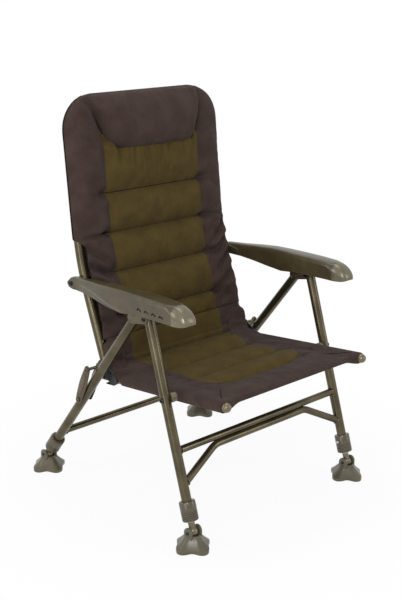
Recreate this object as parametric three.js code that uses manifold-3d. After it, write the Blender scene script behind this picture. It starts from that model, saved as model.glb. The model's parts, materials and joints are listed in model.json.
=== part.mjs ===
// A folding carp fishing chair with reclining back, ratchet armrests and four telescopic legs on swivel mud feet.
// Millimetres, +Z up. The sitter faces -Y, so the right-hand side of the chair lies at negative X.
import * as THREE from "three";
import { mergeVertices } from "three/addons/utils/BufferGeometryUtils.js";
import Module from "manifold-3d";

const wasm = await Module();
wasm.setup();

// Clearances and tessellation
const runningGap = 0.3;
const weldOverlap = 0.6;
const cutOverrun = 4;
const vertexWeld = 0.0001;
const tubeSides = 12;
const boltSides = 10;
const boreSides = 8;
const ballRings = 8;
const bendSteps = 5;
const plateSteps = 4;
const cornerSteps = 3;

// Leg frames, measured along each leg from the middle of its ankle ball
const legSpacing = 580;
const legTubeRadius = 12.5;
const legTubeWall = 1.6;
const ankleHeight = 45;
const frontAnkleReach = 284.8;
const frontLegLean = 17.75;
const rearLegLean = 38.07;
const legPivotAlongLeg = 529.2;
const legPivotOffset = 31.7;
const legTopAbovePivot = 10;
const rearTubeTopBelowPivot = 12;
const crossbarRadius = 9.5;
const frontCrossbarAlongLeg = 200;
const braceFootAlongLeg = 115;
const braceTopAlongLeg = 182;
const braceTopHalfLength = 166;
const braceBendRadius = 30;
const rearCrossbarAlongLeg = 112;

// Seat frame: the rails lie in front of and behind the pivot on the front legs
const railSpacing = 494;
const railTubeRadius = 12.5;
const seatPivotAlongLeg = 328.6;
const seatPitch = 6.3;
const railAheadOfPivot = 152;
const hingeBehindPivot = 283;
const hingeAboveRail = 31;
const railPastHinge = 12;
const spreaderPastHinge = 4;
const spreaderRadius = 8;
const railBallRadius = 12.2;
const railBallNeck = 5;

// Backrest frame: a straight foot, a long gentle bend and a straight top
const backTubeRadius = 12.5;
const backFootLean = 21.5;
const backTopLean = 6.5;
const backFootLength = 180;
const backBendLength = 184;
const backTopLength = 320;
const backCornerRadius = 78;
const backTubePastHinge = 10;

// Bolts, pins and plates
const boltRadius = 4;
const boltHeadRadius = 6.5;
const boltHeadHeight = 4;
const thinHeadHeight = 2;
const plateThickness = 3;
const bracketNoseRadius = 12;
const bracketRootRadius = 13.5;
const bracketRootBelowTop = 24;
const rivetRadius = 3;
const rivetHeadRise = 1;
const rivetPitch = 20;
const linkPivotAlongRearLeg = 276;
const linkEndRadius = 10;
const linkMiddleHalfWidth = 14;
const linkOuterFace = 309.5;
const linkInnerFace = 269.5;
const hingeEarRadius = 15;
const hingeEarRootAhead = 44;
const spacerRadius = 12;

// Armrests
const armOuterFace = 310.5;
const armInnerFace = 257;
const armRearInnerFace = 265;
const armWaistAhead = 175;
const armFlareAhead = 300;
const armWall = 3.2;
const armCornerRadius = 13;
const armCrown = 2.5;
const armHubRadius = 18.5;
const armPlateRootRadius = 13;
const armPlateTipRadius = 8;
const armPlateLength = 46;
const armHubAlongBack = 226;
const armReach = 448;
const armRise = 34.5;
const armDrop = 23.5;
const catchBarAbovePivot = 18;
const catchBarRadius = 4;
const catchBlockHeight = 10;
const toothPitch = 26.5;
const toothHeight = 4;
const toothRamp = 4;
const toothBehindCatch = 9;
const toothCount = 5;
const slotHeight = 5;
const slotWidth = 2.2;

// Telescopic legs, collars and feet
const collarBottomAlongLeg = 27;
const collarLength = 50;
const collarRadius = 20.5;
const collarRibDepth = 1.3;
const collarRibCount = 4;
const collarRibPitch = 5.4;
const collarChamfer = 3.5;
const outerTubeAboveCollarFoot = 9;
const innerLegRadius = 10.4;
const innerLegShowing = 4;
const innerLegLength = 230;
const innerLegWall = 1.5;
const innerLegPlug = 30;
const buttonRadius = 4.4;
const buttonAboveCollarFoot = 33;
const buttonProud = 4.5;
const buttonDepth = 7;
const stemRadius = 8.5;
const stemTenonRadius = 5;
const stemTenonLength = 24;
const ankleBallRadius = 12.5;
const footLobeRadius = 49;
const footWaistRadius = 38;
const footLobes = 4;
const footRimHeight = 9;
const footRimLift = 3.5;
const footSoleTrim = 1;
const footShoulderRadius = 17;
const footShoulderHeight = 37;
const footPoints = 24;
const footHollowRadius = 33;
const footHollowTopRadius = 12;
const footHollowHeight = 24;
const earThickness = 5.5;
const earRadius = 13.5;
const footPinRadius = 3;
const footPinHeadRadius = 4.6;

// Soft parts
const coverSkin = 3;
const seatCoverFront = 8;
const seatCoverRearBeforeHinge = 28;
const seatCoverNeckGap = 2;
const neckBlend = 4;
const seatHemLength = 12;
const seatPadThickness = 16;
const seatFrontHeight = 13;
const seatMiddleHeight = 8;
const seatRearHeight = 26;
const seatFrontSlope = 150;
const seatRearSlope = 115;
const seatRailBlend = 56;
const seatCoverBelowRail = 15.8;
const seatSeams = [50, 164];
const seatPatchFront = -34;
const seatRollRise = 7;
const seatSeamDepth = 9;
const seatSeamHalfWidth = 15;
const seatRowPitch = 26;
const spacerNotchRadius = 19;
const boltNotchRadius = 10;
const nutNotchDepth = 12;
const backCoverThickness = 43;
const backCoverRearSkin = 15.8;
const backCoverFootThickness = 21;
const backCoverFootRise = 62;
const backFootTaper = 90;
const backRowPitch = 30;
const backCoverAboveTube = 8;
const hingeStripRadius = 15.5;
const hingeStripTop = 60.5;
const hingeStripThickness = 20;
const hingeStripHalfWidth = 222;
const backNarrowHalfWidth = 226;
const hoodFootAlongBack = 330;
const hoodFootBlend = 34;
const channelDepth = 13;
const channelHalfWidth = 20;
const greenHalfWidth = 166;
const backSeams = [235, 338, 440];
const headrestHalfTop = 176;
const headrestHalfFoot = 118;
const headrestTopBelowEdge = 14;
const headrestHeight = 122;
const headrestThickness = 24;
const headrestEdge = 7;
const headrestCorner = 14;
const headrestCornerShare = 0.16;

// Materials, coloured as in the photograph
const paint = new THREE.MeshStandardMaterial({ color: "#6a624e", roughness: 0.38, metalness: 0.7 });
const moulding = new THREE.MeshStandardMaterial({ color: "#665a47", roughness: 0.5, metalness: 0 });
const footPlastic = new THREE.MeshStandardMaterial({ color: "#6b6450", roughness: 0.5, metalness: 0 });
const zinc = new THREE.MeshStandardMaterial({ color: "#b9b6ae", roughness: 0.3, metalness: 1 });
const bronze = new THREE.MeshStandardMaterial({ color: "#7c6f5c", roughness: 0.3, metalness: 0.6 });
const blackPlastic = new THREE.MeshStandardMaterial({ color: "#1d1c1b", roughness: 0.5, metalness: 0 });
const tanPlastic = new THREE.MeshStandardMaterial({ color: "#a08a63", roughness: 0.5, metalness: 0 });
const steel = new THREE.MeshStandardMaterial({ color: "#5b5647", roughness: 0.4, metalness: 0.8 });
const brownFabric = new THREE.MeshStandardMaterial({ color: "#423532", roughness: 0.9, metalness: 0 });

const group = new THREE.Group();

// Turns a closed geometry into a manifold-3d solid.
function toSolid(geometry) {
  const bare = geometry.clone();
  bare.deleteAttribute("normal");
  bare.deleteAttribute("uv");
  const merged = mergeVertices(bare, vertexWeld);
  const vertProperties = merged.attributes.position.array;
  const triVerts = new Uint32Array(merged.index.array);
  return new wasm.Manifold(new wasm.Mesh({ numProp: 3, vertProperties, triVerts }));
}

function toGeometry(solid) {
  const mesh = solid.getMesh();
  const geometry = new THREE.BufferGeometry();
  geometry.setAttribute("position", new THREE.BufferAttribute(mesh.vertProperties, 3));
  geometry.setIndex(new THREE.BufferAttribute(mesh.triVerts, 1));
  geometry.computeVertexNormals();
  return geometry;
}

function addPiece(name, solid, material) {
  const mesh = new THREE.Mesh(toGeometry(solid), material);
  mesh.name = name;
  group.add(mesh);
}

const joined = (solids) => solids.reduce((sum, solid) => sum.add(solid));
const degrees = THREE.MathUtils.degToRad;
const vector = (x, y, z) => new THREE.Vector3(x, y, z);
// A point of the side plane, moved out to its place across the chair.
const across = (point, x) => vector(x, point.y, point.z);
// The point that lies `along` one direction and `off` another from a start.
const offset = (start, direction, along) => start.clone().addScaledVector(direction, along);

// A round bar between two points, or a cone where a second radius is given.
function rod(from, to, radius, sides = tubeSides, endRadius = radius) {
  const axis = to.clone().sub(from);
  const bar = new THREE.CylinderGeometry(endRadius, radius, axis.length(), sides);
  const turn = new THREE.Quaternion().setFromUnitVectors(vector(0, 1, 0), axis.clone().normalize());
  bar.applyQuaternion(turn);
  bar.translate(...from.clone().add(to).multiplyScalar(0.5));
  return toSolid(bar);
}

// A closed skin through rings of equal point counts, capped at both ends.
function loft(rings) {
  const count = rings[0].length;
  const points = rings.flat();
  const middle = (ring) => ring.reduce((sum, p) => sum.add(p), vector(0, 0, 0)).divideScalar(count);
  const first = points.push(middle(rings[0])) - 1;
  const last = points.push(middle(rings[rings.length - 1])) - 1;
  const index = [];
  for (let row = 0; row + 1 < rings.length; row += 1) {
    for (let i = 0; i < count; i += 1) {
      const a = row * count + i;
      const b = row * count + ((i + 1) % count);
      index.push(a, b, b + count, a, b + count, a + count);
    }
  }
  const lastRow = (rings.length - 1) * count;
  for (let i = 0; i < count; i += 1) {
    const next = (i + 1) % count;
    index.push(first, next, i, last, lastRow + i, lastRow + next);
  }
  const geometry = new THREE.BufferGeometry().setFromPoints(points);
  geometry.setIndex(index);
  const solid = toSolid(geometry);
  return solid.volume() < 0 ? toSolid(turnedOver(geometry)) : solid;
}

function turnedOver(geometry) {
  const index = geometry.index.array;
  for (let i = 0; i < index.length; i += 3) {
    [index[i + 1], index[i + 2]] = [index[i + 2], index[i + 1]];
  }
  return geometry;
}

// The corner points with each inner corner rounded to an arc.
function rounded(corners, radius) {
  const path = [corners[0]];
  for (let i = 1; i + 1 < corners.length; i += 1) {
    const back = corners[i - 1].clone().sub(corners[i]).normalize();
    const ahead = corners[i + 1].clone().sub(corners[i]).normalize();
    const half = back.angleTo(ahead) / 2;
    const middle = back.clone().add(ahead).normalize();
    const centre = offset(corners[i], middle, radius / Math.sin(half));
    const from = offset(corners[i], back, radius / Math.tan(half)).sub(centre);
    const axis = from.clone().cross(offset(corners[i], ahead, radius / Math.tan(half)).sub(centre)).normalize();
    const sweep = Math.PI - 2 * half;
    for (let step = 0; step <= bendSteps; step += 1) {
      path.push(from.clone().applyAxisAngle(axis, (sweep * step) / bendSteps).add(centre));
    }
  }
  path.push(corners[corners.length - 1]);
  return path;
}

// A tube through points, each ring square to the way the path runs there.
function tube(path, radius, sides = tubeSides) {
  const heading = (i) => {
    const before = path[Math.max(i - 1, 0)];
    const after = path[Math.min(i + 1, path.length - 1)];
    const here = path[i];
    const arriving = i ? here.clone().sub(before).normalize() : after.clone().sub(here).normalize();
    const leaving = i + 1 < path.length ? after.clone().sub(here).normalize() : arriving;
    return arriving.clone().add(leaving).normalize();
  };
  let direction = heading(0);
  const side = new THREE.Vector3();
  side.crossVectors(direction, Math.abs(direction.x) > 0.5 ? vector(0, 0, 1) : vector(1, 0, 0)).normalize();
  const rings = path.map((point, i) => {
    const next = heading(i);
    side.applyQuaternion(new THREE.Quaternion().setFromUnitVectors(direction, next));
    direction = next;
    return Array.from({ length: sides }, (_, k) => {
      const spoke = side.clone().applyAxisAngle(direction, (2 * Math.PI * k) / sides);
      return offset(point, spoke, radius);
    });
  });
  return loft(rings);
}

// A body turned round the line from a start along a direction; the profile is [distance along, radius] pairs.
function turned(start, direction, profile, sides) {
  const points = profile.map(([along, radius]) => new THREE.Vector2(radius, along));
  const lathe = new THREE.LatheGeometry(points, sides);
  lathe.applyQuaternion(new THREE.Quaternion().setFromUnitVectors(vector(0, 1, 0), direction));
  lathe.translate(...start);
  const solid = toSolid(lathe);
  return solid.volume() < 0 ? toSolid(turnedOver(mergeVertices(lathe))) : solid;
}

// A plate with an outline in the side plane, between two places across the chair.
function sidePlate(outline, fromX, toX, curveSegments = plateSteps) {
  const depth = Math.abs(toX - fromX);
  const plate = new THREE.ExtrudeGeometry(outline, { depth, bevelEnabled: false, curveSegments });
  plate.applyMatrix4(new THREE.Matrix4().makeBasis(vector(0, 1, 0), vector(0, 0, 1), vector(1, 0, 0)));
  plate.translate(Math.min(fromX, toX), 0, 0);
  return toSolid(plate);
}

// The outline round two circles in the side plane, bulged to a leaf where a middle half-width is given.
function strapOutline(from, fromRadius, to, toRadius, middleHalfWidth) {
  const angle = Math.atan2(to.z - from.z, to.y - from.y);
  const apart = Math.hypot(to.y - from.y, to.z - from.z);
  const wrap = Math.acos((fromRadius - toRadius) / apart);
  const outline = new THREE.Shape();
  outline.absarc(from.y, from.z, fromRadius, angle + wrap, angle - wrap + 2 * Math.PI, false);
  const halfway = (turn) => {
    const reach = 2 * middleHalfWidth - (fromRadius + toRadius) / 2;
    const middle = from.clone().add(to).multiplyScalar(0.5);
    return [middle.y + reach * Math.cos(angle + turn), middle.z + reach * Math.sin(angle + turn)];
  };
  const start = [to.y + toRadius * Math.cos(angle - wrap), to.z + toRadius * Math.sin(angle - wrap)];
  if (middleHalfWidth) outline.quadraticCurveTo(...halfway(-Math.PI / 2), ...start);
  outline.absarc(to.y, to.z, toRadius, angle - wrap, angle + wrap, false);
  const end = [from.y + fromRadius * Math.cos(angle + wrap), from.z + fromRadius * Math.sin(angle + wrap)];
  if (middleHalfWidth) outline.quadraticCurveTo(...halfway(Math.PI / 2), ...end);
  return outline;
}

// A bolt across the chair, with a domed head outside and a nut inside.
function bolt(centre, innerX, outerX, hand, nutHeight = boltHeadHeight, headHeight = boltHeadHeight) {
  const start = across(centre, hand * (innerX - runningGap - nutHeight));
  const grip = outerX - innerX + 2 * runningGap + nutHeight;
  const profile = [
    [0, 0],
    [0, boltHeadRadius],
    [nutHeight, boltHeadRadius],
    [nutHeight, boltRadius],
    [grip, boltRadius],
    [grip, boltHeadRadius],
    [grip + headHeight / 2, boltHeadRadius],
    [grip + headHeight, boltHeadRadius / 2],
    [grip + headHeight, 0],
  ];
  return turned(start, vector(hand, 0, 0), profile, boltSides);
}

// A hole across the chair for a bolt, from one place across it to another.
function boltHole(centre, fromX, toX, radius = boltRadius + runningGap) {
  return rod(across(centre, fromX), across(centre, toX), radius, boltSides);
}

// Places in the side plane
const halfLegs = legSpacing / 2;
const halfRails = railSpacing / 2;
const frontUp = vector(0, Math.sin(degrees(frontLegLean)), Math.cos(degrees(frontLegLean)));
const frontAnkle = vector(0, -frontAnkleReach, ankleHeight);
const legPivot = offset(frontAnkle, frontUp, legPivotAlongLeg);
const seatPivot = offset(frontAnkle, frontUp, seatPivotAlongLeg);
const rearUp = vector(0, -Math.sin(degrees(rearLegLean)), Math.cos(degrees(rearLegLean)));
const rearNormal = vector(0, Math.cos(degrees(rearLegLean)), Math.sin(degrees(rearLegLean)));
const rearAbreast = offset(legPivot, rearNormal, legPivotOffset);
const rearLegLength = (rearAbreast.z - ankleHeight) / rearUp.z;
const rearAnkle = offset(rearAbreast, rearUp, -rearLegLength);
const railBack = vector(0, Math.cos(degrees(seatPitch)), -Math.sin(degrees(seatPitch)));
const railUp = vector(0, Math.sin(degrees(seatPitch)), Math.cos(degrees(seatPitch)));
const onRail = (behindPivot, above) => offset(offset(seatPivot, railBack, behindPivot), railUp, above);
const backHinge = onRail(hingeBehindPivot, hingeAboveRail);
const linkPivot = offset(rearAnkle, rearUp, linkPivotAlongRearLeg);

// The middle line of the backrest tubes: a place along it, and the way up and the way forward there.
function onBack(along, ahead = 0) {
  const bendStart = backFootLength;
  const bendEnd = backFootLength + backBendLength;
  const foot = degrees(backFootLean);
  const top = degrees(backTopLean);
  const bendRadius = backBendLength / (foot - top);
  const lean = foot - THREE.MathUtils.clamp((along - bendStart) / backBendLength, 0, 1) * (foot - top);
  const up = vector(0, Math.sin(lean), Math.cos(lean));
  const forward = vector(0, -Math.cos(lean), Math.sin(lean));
  const footUp = vector(0, Math.sin(foot), Math.cos(foot));
  let place = offset(backHinge, footUp, Math.min(along, bendStart));
  if (along > bendStart) {
    place.y += bendRadius * (Math.cos(lean) - Math.cos(foot));
    place.z += bendRadius * (Math.sin(foot) - Math.sin(lean));
  }
  if (along > bendEnd) place = offset(place, up, along - bendEnd);
  return offset(place, forward, ahead);
}

const backTubeTop = backFootLength + backBendLength + backTopLength;
const armHub = onBack(armHubAlongBack);
const catchBar = offset(legPivot, frontUp, catchBarAbovePivot);

// Leg frames
const legFoot = collarBottomAlongLeg + outerTubeAboveCollarFoot;

function legBore(ankle, up, tubeTop, x) {
  const foot = across(offset(ankle, up, legFoot - cutOverrun), x);
  return rod(foot, across(offset(tubeTop, up, cutOverrun), x), legTubeRadius - legTubeWall);
}

function frontLegFrame() {
  const crossbarEnd = across(offset(frontAnkle, frontUp, frontCrossbarAlongLeg), halfLegs);
  const braceFoot = across(offset(frontAnkle, frontUp, braceFootAlongLeg), halfLegs);
  const braceTop = across(offset(frontAnkle, frontUp, braceTopAlongLeg), braceTopHalfLength);
  const mirrored = (point) => vector(-point.x, point.y, point.z);
  const bracePath = rounded([braceFoot, braceTop, mirrored(braceTop), mirrored(braceFoot)], braceBendRadius);
  const bars = (radius, sides) => {
    return rod(crossbarEnd, mirrored(crossbarEnd), radius, sides).add(tube(bracePath, radius, sides));
  };
  const tubeTop = offset(legPivot, frontUp, legTopAbovePivot);
  let frame = bars(crossbarRadius, tubeSides);
  for (const hand of [-1, 1]) {
    const x = hand * halfLegs;
    const foot = across(offset(frontAnkle, frontUp, legFoot), x);
    frame = frame.add(rod(foot, across(tubeTop, x), legTubeRadius));
  }
  frame = frame.subtract(bars(crossbarRadius - legTubeWall, boreSides));
  for (const hand of [-1, 1]) {
    const x = hand * halfLegs;
    const reach = legTubeRadius + cutOverrun;
    frame = frame.subtract(legBore(frontAnkle, frontUp, tubeTop, x));
    frame = frame.subtract(boltHole(legPivot, x - reach, x + reach));
    frame = frame.subtract(boltHole(seatPivot, x - reach, x + reach));
  }
  return frame;
}

// The plates at the top of a rear leg stand clear of the front leg between them.
const plateInside = legTubeRadius + runningGap;
const plateOutside = plateInside + plateThickness;

function rearLegFrame() {
  const crossbarEnd = across(offset(rearAnkle, rearUp, rearCrossbarAlongLeg), halfLegs);
  let frame = rod(crossbarEnd, across(crossbarEnd, -halfLegs), crossbarRadius);
  const tubeTop = offset(rearAbreast, rearUp, -rearTubeTopBelowPivot);
  const plateRoot = offset(tubeTop, rearUp, -bracketRootBelowTop);
  const outline = strapOutline(legPivot, bracketNoseRadius, plateRoot, bracketRootRadius);
  for (const hand of [-1, 1]) {
    const x = hand * halfLegs;
    frame = frame.add(rod(across(offset(rearAnkle, rearUp, legFoot), x), across(tubeTop, x), legTubeRadius));
  }
  frame = frame.subtract(rod(crossbarEnd, across(crossbarEnd, -halfLegs), crossbarRadius - legTubeWall, boreSides));
  for (const hand of [-1, 1]) {
    const x = hand * halfLegs;
    frame = frame.subtract(legBore(rearAnkle, rearUp, tubeTop, x));
    frame = frame.add(sidePlate(outline, x - plateOutside, x - plateInside));
    frame = frame.add(sidePlate(outline, x + plateInside, x + plateOutside));
    for (const shift of [-rivetPitch / 2, rivetPitch / 2]) {
      const rivet = offset(plateRoot, rearUp, shift);
      const reach = plateOutside + rivetHeadRise;
      frame = frame.add(boltHole(rivet, x - reach, x + reach, rivetRadius));
    }
    const reach = plateOutside + cutOverrun;
    frame = frame.subtract(boltHole(legPivot, x - reach, x + reach));
    frame = frame.subtract(boltHole(linkPivot, x - reach, x + reach));
  }
  return frame;
}

// The catch on a front leg's top: a block seated on the tube end, with the bar that the armrest teeth hook over.
function armrestCatch(hand) {
  const x = hand * halfLegs;
  const seat = offset(legPivot, frontUp, legTopAbovePivot + runningGap);
  const block = rod(across(seat, x), across(offset(seat, frontUp, catchBlockHeight), x), legTubeRadius, tubeSides,
    catchBarRadius);
  const barFrom = across(catchBar, hand * (armInnerFace + armWall + 2 * runningGap));
  const barTo = across(catchBar, hand * (armOuterFace - armWall - 2 * runningGap));
  return block.add(rod(barFrom, barTo, catchBarRadius, boltSides));
}

// Seat frame
function seatFrame() {
  const frontEnd = onRail(-railAheadOfPivot, 0);
  const rearEnd = onRail(hingeBehindPivot + railPastHinge, 0);
  const spreader = onRail(hingeBehindPivot + spreaderPastHinge, 0);
  let frame = rod(across(spreader, -halfRails), across(spreader, halfRails), spreaderRadius);
  for (const hand of [-1, 1]) {
    frame = frame.add(rod(across(frontEnd, hand * halfRails), across(rearEnd, hand * halfRails), railTubeRadius));
  }
  const spreaderBore = spreaderRadius - legTubeWall;
  frame = frame.subtract(rod(across(spreader, -halfRails), across(spreader, halfRails), spreaderBore, boreSides));
  for (const hand of [-1, 1]) {
    const x = hand * halfRails;
    const reach = railTubeRadius + cutOverrun;
    const boreFrom = across(offset(frontEnd, railBack, -cutOverrun), x);
    const boreTo = across(offset(rearEnd, railBack, cutOverrun), x);
    frame = frame.subtract(rod(boreFrom, boreTo, railTubeRadius - legTubeWall, boreSides));
    frame = frame.subtract(boltHole(seatPivot, x - reach, x + reach));
  }
  return frame;
}

function railBall(hand) {
  const start = across(onRail(-railAheadOfPivot - runningGap, 0), hand * halfRails);
  const profile = [[0, 0], [0, railTubeRadius], [railBallNeck / 2, railTubeRadius]];
  const centreAlong = railBallNeck / 2 + railBallRadius * Math.cos(degrees(35));
  for (let turn = 145; turn > 0; turn -= 29) {
    const angle = degrees(turn);
    profile.push([centreAlong + railBallRadius * Math.cos(angle), railBallRadius * Math.sin(angle)]);
  }
  profile.push([centreAlong + railBallRadius, 0]);
  return turned(start, railBack.clone().negate(), profile, tubeSides);
}

// The hinge bracket wraps under the rail's rear end, and its two ears carry the backrest tube on a pin.
const earInside = railTubeRadius + runningGap;
const earOutside = earInside + plateThickness;

function hingeBracket(hand) {
  const x = hand * halfRails;
  const root = onRail(hingeBehindPivot - hingeEarRootAhead, 0);
  const outline = strapOutline(backHinge, hingeEarRadius, root, railTubeRadius + runningGap + plateThickness);
  const channel = new THREE.Shape();
  const heel = onRail(hingeBehindPivot - hingeEarRootAhead, -railTubeRadius - runningGap);
  const toe = onRail(hingeBehindPivot - hingeEarRadius, -railTubeRadius - runningGap);
  const corners = [heel, toe, offset(toe, railUp, -plateThickness), offset(heel, railUp, -plateThickness)];
  channel.setFromPoints(corners.map((p) => new THREE.Vector2(p.y, p.z)));
  let bracket = sidePlate(channel, x - earOutside, x + earOutside);
  bracket = bracket.add(sidePlate(outline, x - earOutside, x - earInside));
  bracket = bracket.add(sidePlate(outline, x + earInside, x + earOutside));
  const reach = earOutside + rivetHeadRise;
  for (const side of [-1, 1]) {
    bracket = bracket.add(boltHole(root, x + side * earInside, x + side * reach, boltRadius));
  }
  return bracket.subtract(boltHole(backHinge, x - reach - cutOverrun, x + reach + cutOverrun));
}

// Backrest frame
function backrestFrame() {
  const tubeEnd = onBack(-backTubePastHinge);
  const bendSplit = Array.from({ length: bendSteps + 1 }, (_, i) => {
    return onBack(backFootLength + (backBendLength * i) / bendSteps);
  });
  const topLeft = across(onBack(backTubeTop), halfRails);
  const topRight = across(onBack(backTubeTop), -halfRails);
  const shoulder = across(onBack(backTubeTop - backCornerRadius * 2), halfRails);
  const arch = rounded([shoulder, topLeft, topRight, across(shoulder, -halfRails)], backCornerRadius);
  const rise = [tubeEnd, ...bendSplit];
  const path = [
    ...rise.map((p) => across(p, halfRails)),
    ...arch,
    ...rise.reverse().map((p) => across(p, -halfRails)),
  ];
  const footUp = onBack(0).sub(tubeEnd).normalize();
  const below = offset(tubeEnd, footUp, -cutOverrun);
  const borePath = [across(below, halfRails), ...path, across(below, -halfRails)];
  let frame = tube(path, backTubeRadius).subtract(tube(borePath, backTubeRadius - legTubeWall, boreSides));
  for (const hand of [-1, 1]) {
    const reach = backTubeRadius + cutOverrun;
    const x = hand * halfRails;
    frame = frame.subtract(boltHole(backHinge, x - reach, x + reach));
    frame = frame.subtract(boltHole(armHub, x - reach, x + reach));
  }
  return frame;
}

// Links between the rear legs and the seat hinge
function linkPlate(hand, outerFace) {
  const outline = strapOutline(backHinge, linkEndRadius, linkPivot, linkEndRadius, linkMiddleHalfWidth);
  const from = hand * (outerFace - plateThickness);
  const to = hand * outerFace;
  let plate = sidePlate(outline, from, to);
  for (const pivot of [backHinge, linkPivot]) {
    plate = plate.subtract(boltHole(pivot, from - hand * cutOverrun, to + hand * cutOverrun));
  }
  return plate;
}

// Telescopic legs
function collar(ankle, up, x, buttonWay) {
  const start = across(offset(ankle, up, collarBottomAlongLeg), x);
  const legBoreRadius = legTubeRadius + runningGap;
  const innerBoreRadius = innerLegRadius + runningGap;
  const step = outerTubeAboveCollarFoot - runningGap;
  const profile = [[0, innerBoreRadius], [0, collarRadius - collarChamfer], [collarChamfer, collarRadius]];
  for (let rib = 0; rib < collarRibCount; rib += 1) {
    const foot = collarChamfer + (rib + 0.5) * collarRibPitch;
    profile.push([foot, collarRadius]);
    profile.push([foot + collarRibPitch / 2, collarRadius - collarRibDepth]);
  }
  profile.push([collarLength - collarChamfer / 2, collarRadius]);
  profile.push([collarLength, collarRadius - collarChamfer / 2]);
  profile.push([collarLength, legBoreRadius], [step, legBoreRadius], [step, innerBoreRadius]);
  profile.push([0, innerBoreRadius]);
  const hub = across(offset(ankle, up, collarBottomAlongLeg + buttonAboveCollarFoot), x);
  const hole = rod(offset(hub, buttonWay, legTubeRadius / 2), offset(hub, buttonWay, collarRadius + cutOverrun),
    buttonRadius + runningGap, boltSides);
  return turned(start, up, profile, tubeSides).subtract(hole);
}

function collarButton(ankle, up, x, buttonWay) {
  const hub = across(offset(ankle, up, collarBottomAlongLeg + buttonAboveCollarFoot), x);
  const tip = collarRadius + buttonProud;
  const profile = [
    [0, 0],
    [0, buttonRadius],
    [buttonDepth, buttonRadius],
    [buttonDepth + buttonProud / 3, buttonRadius / 2],
    [buttonDepth + buttonProud / 3, 0],
  ];
  return turned(offset(hub, buttonWay, tip - buttonDepth - buttonProud / 3), buttonWay, profile, boltSides);
}

function innerLeg(ankle, up, x) {
  const foot = across(offset(ankle, up, collarBottomAlongLeg - innerLegShowing), x);
  const leg = rod(foot, offset(foot, up, innerLegLength), innerLegRadius);
  const socket = rod(offset(foot, up, -cutOverrun), offset(foot, up, stemTenonLength + runningGap),
    stemTenonRadius + runningGap, boltSides);
  const bore = rod(offset(foot, up, innerLegPlug), offset(foot, up, innerLegLength + cutOverrun),
    innerLegRadius - innerLegWall, boreSides);
  return leg.subtract(socket).subtract(bore);
}

// The ankle: a ball and stem that swivels in the inner leg's foot.
function ankleBall(ankle, up, x) {
  const centre = across(ankle, x);
  const ball = new THREE.SphereGeometry(ankleBallRadius, tubeSides, ballRings);
  ball.rotateX(Math.PI / 2);
  ball.translate(...centre);
  const stemTop = collarBottomAlongLeg - innerLegShowing - runningGap;
  const stem = rod(centre, offset(centre, up, stemTop), stemRadius);
  const tenonFoot = offset(centre, up, stemTop - weldOverlap);
  const tenon = rod(tenonFoot, offset(centre, up, stemTop + stemTenonLength), stemTenonRadius, boltSides);
  const reach = ankleBallRadius + cutOverrun;
  return joined([toSolid(ball), stem, tenon])
    .subtract(boltHole(centre, x - reach, x + reach, footPinRadius + runningGap));
}

// The mud foot: a hollow four-lobed skirt that rises to two ears round the ankle ball.
function mudFoot(ankle, x) {
  const centre = vector(x, ankle.y, 0);
  const lobe = (turn) => (1 + Math.cos(footLobes * turn)) / 2;
  const ring = (radiusAt, heightAt) => Array.from({ length: footPoints }, (_, i) => {
    const turn = (2 * Math.PI * i) / footPoints;
    const radius = radiusAt(turn);
    return vector(radius * Math.cos(turn), radius * Math.sin(turn), heightAt(turn)).add(centre);
  });
  const rim = (turn) => THREE.MathUtils.lerp(footWaistRadius, footLobeRadius, lobe(turn));
  const lift = (turn) => footRimLift * (1 - lobe(turn));
  const skirt = loft([
    ring(rim, (turn) => lift(turn) - footSoleTrim),
    ring(rim, (turn) => footRimHeight + lift(turn)),
    ring((turn) => footShoulderRadius + (rim(turn) - footWaistRadius) / 4, () => footShoulderHeight),
  ]);
  const ground = new THREE.BoxGeometry(4 * footLobeRadius, 4 * footLobeRadius, cutOverrun);
  ground.translate(centre.x, centre.y, -cutOverrun / 2);
  const hollow = rod(offset(centre, vector(0, 0, 1), -cutOverrun), offset(centre, vector(0, 0, 1), footHollowHeight),
    footHollowRadius, tubeSides, footHollowTopRadius);
  const ball = across(ankle, x);
  const earInner = ankleBallRadius + runningGap;
  const ears = [-1, 1].map((side) => {
    const from = vector(x + side * earInner, 0, 0);
    const foot = vector(0, ankle.y, footShoulderHeight - earRadius);
    const outline = strapOutline(ball, earRadius, foot, earRadius);
    return sidePlate(outline, from.x, from.x + side * earThickness);
  });
  const socket = rod(across(ball, x - earInner), across(ball, x + earInner), ankleBallRadius + 2 * runningGap);
  const slot = new THREE.BoxGeometry(2 * earInner, 4 * earRadius, 2 * ankleBallRadius);
  slot.translate(ball.x, ball.y, ball.z + ankleBallRadius);
  const reach = earInner + earThickness + cutOverrun;
  return joined([skirt.subtract(toSolid(ground)).subtract(hollow), ...ears])
    .subtract(toSolid(slot))
    .subtract(socket)
    .subtract(boltHole(ball, x - reach, x + reach, footPinRadius + runningGap));
}

function footPin(ankle, x) {
  const half = ankleBallRadius + runningGap + earThickness;
  const head = 1.5 * footPinRadius;
  const profile = [
    [0, 0],
    [0, footPinHeadRadius],
    [head / 2, footPinHeadRadius],
    [head / 2, footPinRadius],
    [head / 2 + 2 * half + 2 * runningGap, footPinRadius],
    [head / 2 + 2 * half + 2 * runningGap, footPinHeadRadius],
    [head + 2 * half + 2 * runningGap, footPinHeadRadius],
    [head + 2 * half + 2 * runningGap, 0],
  ];
  return turned(across(ankle, x - half - runningGap - head / 2), vector(1, 0, 0), profile, boltSides);
}

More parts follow.
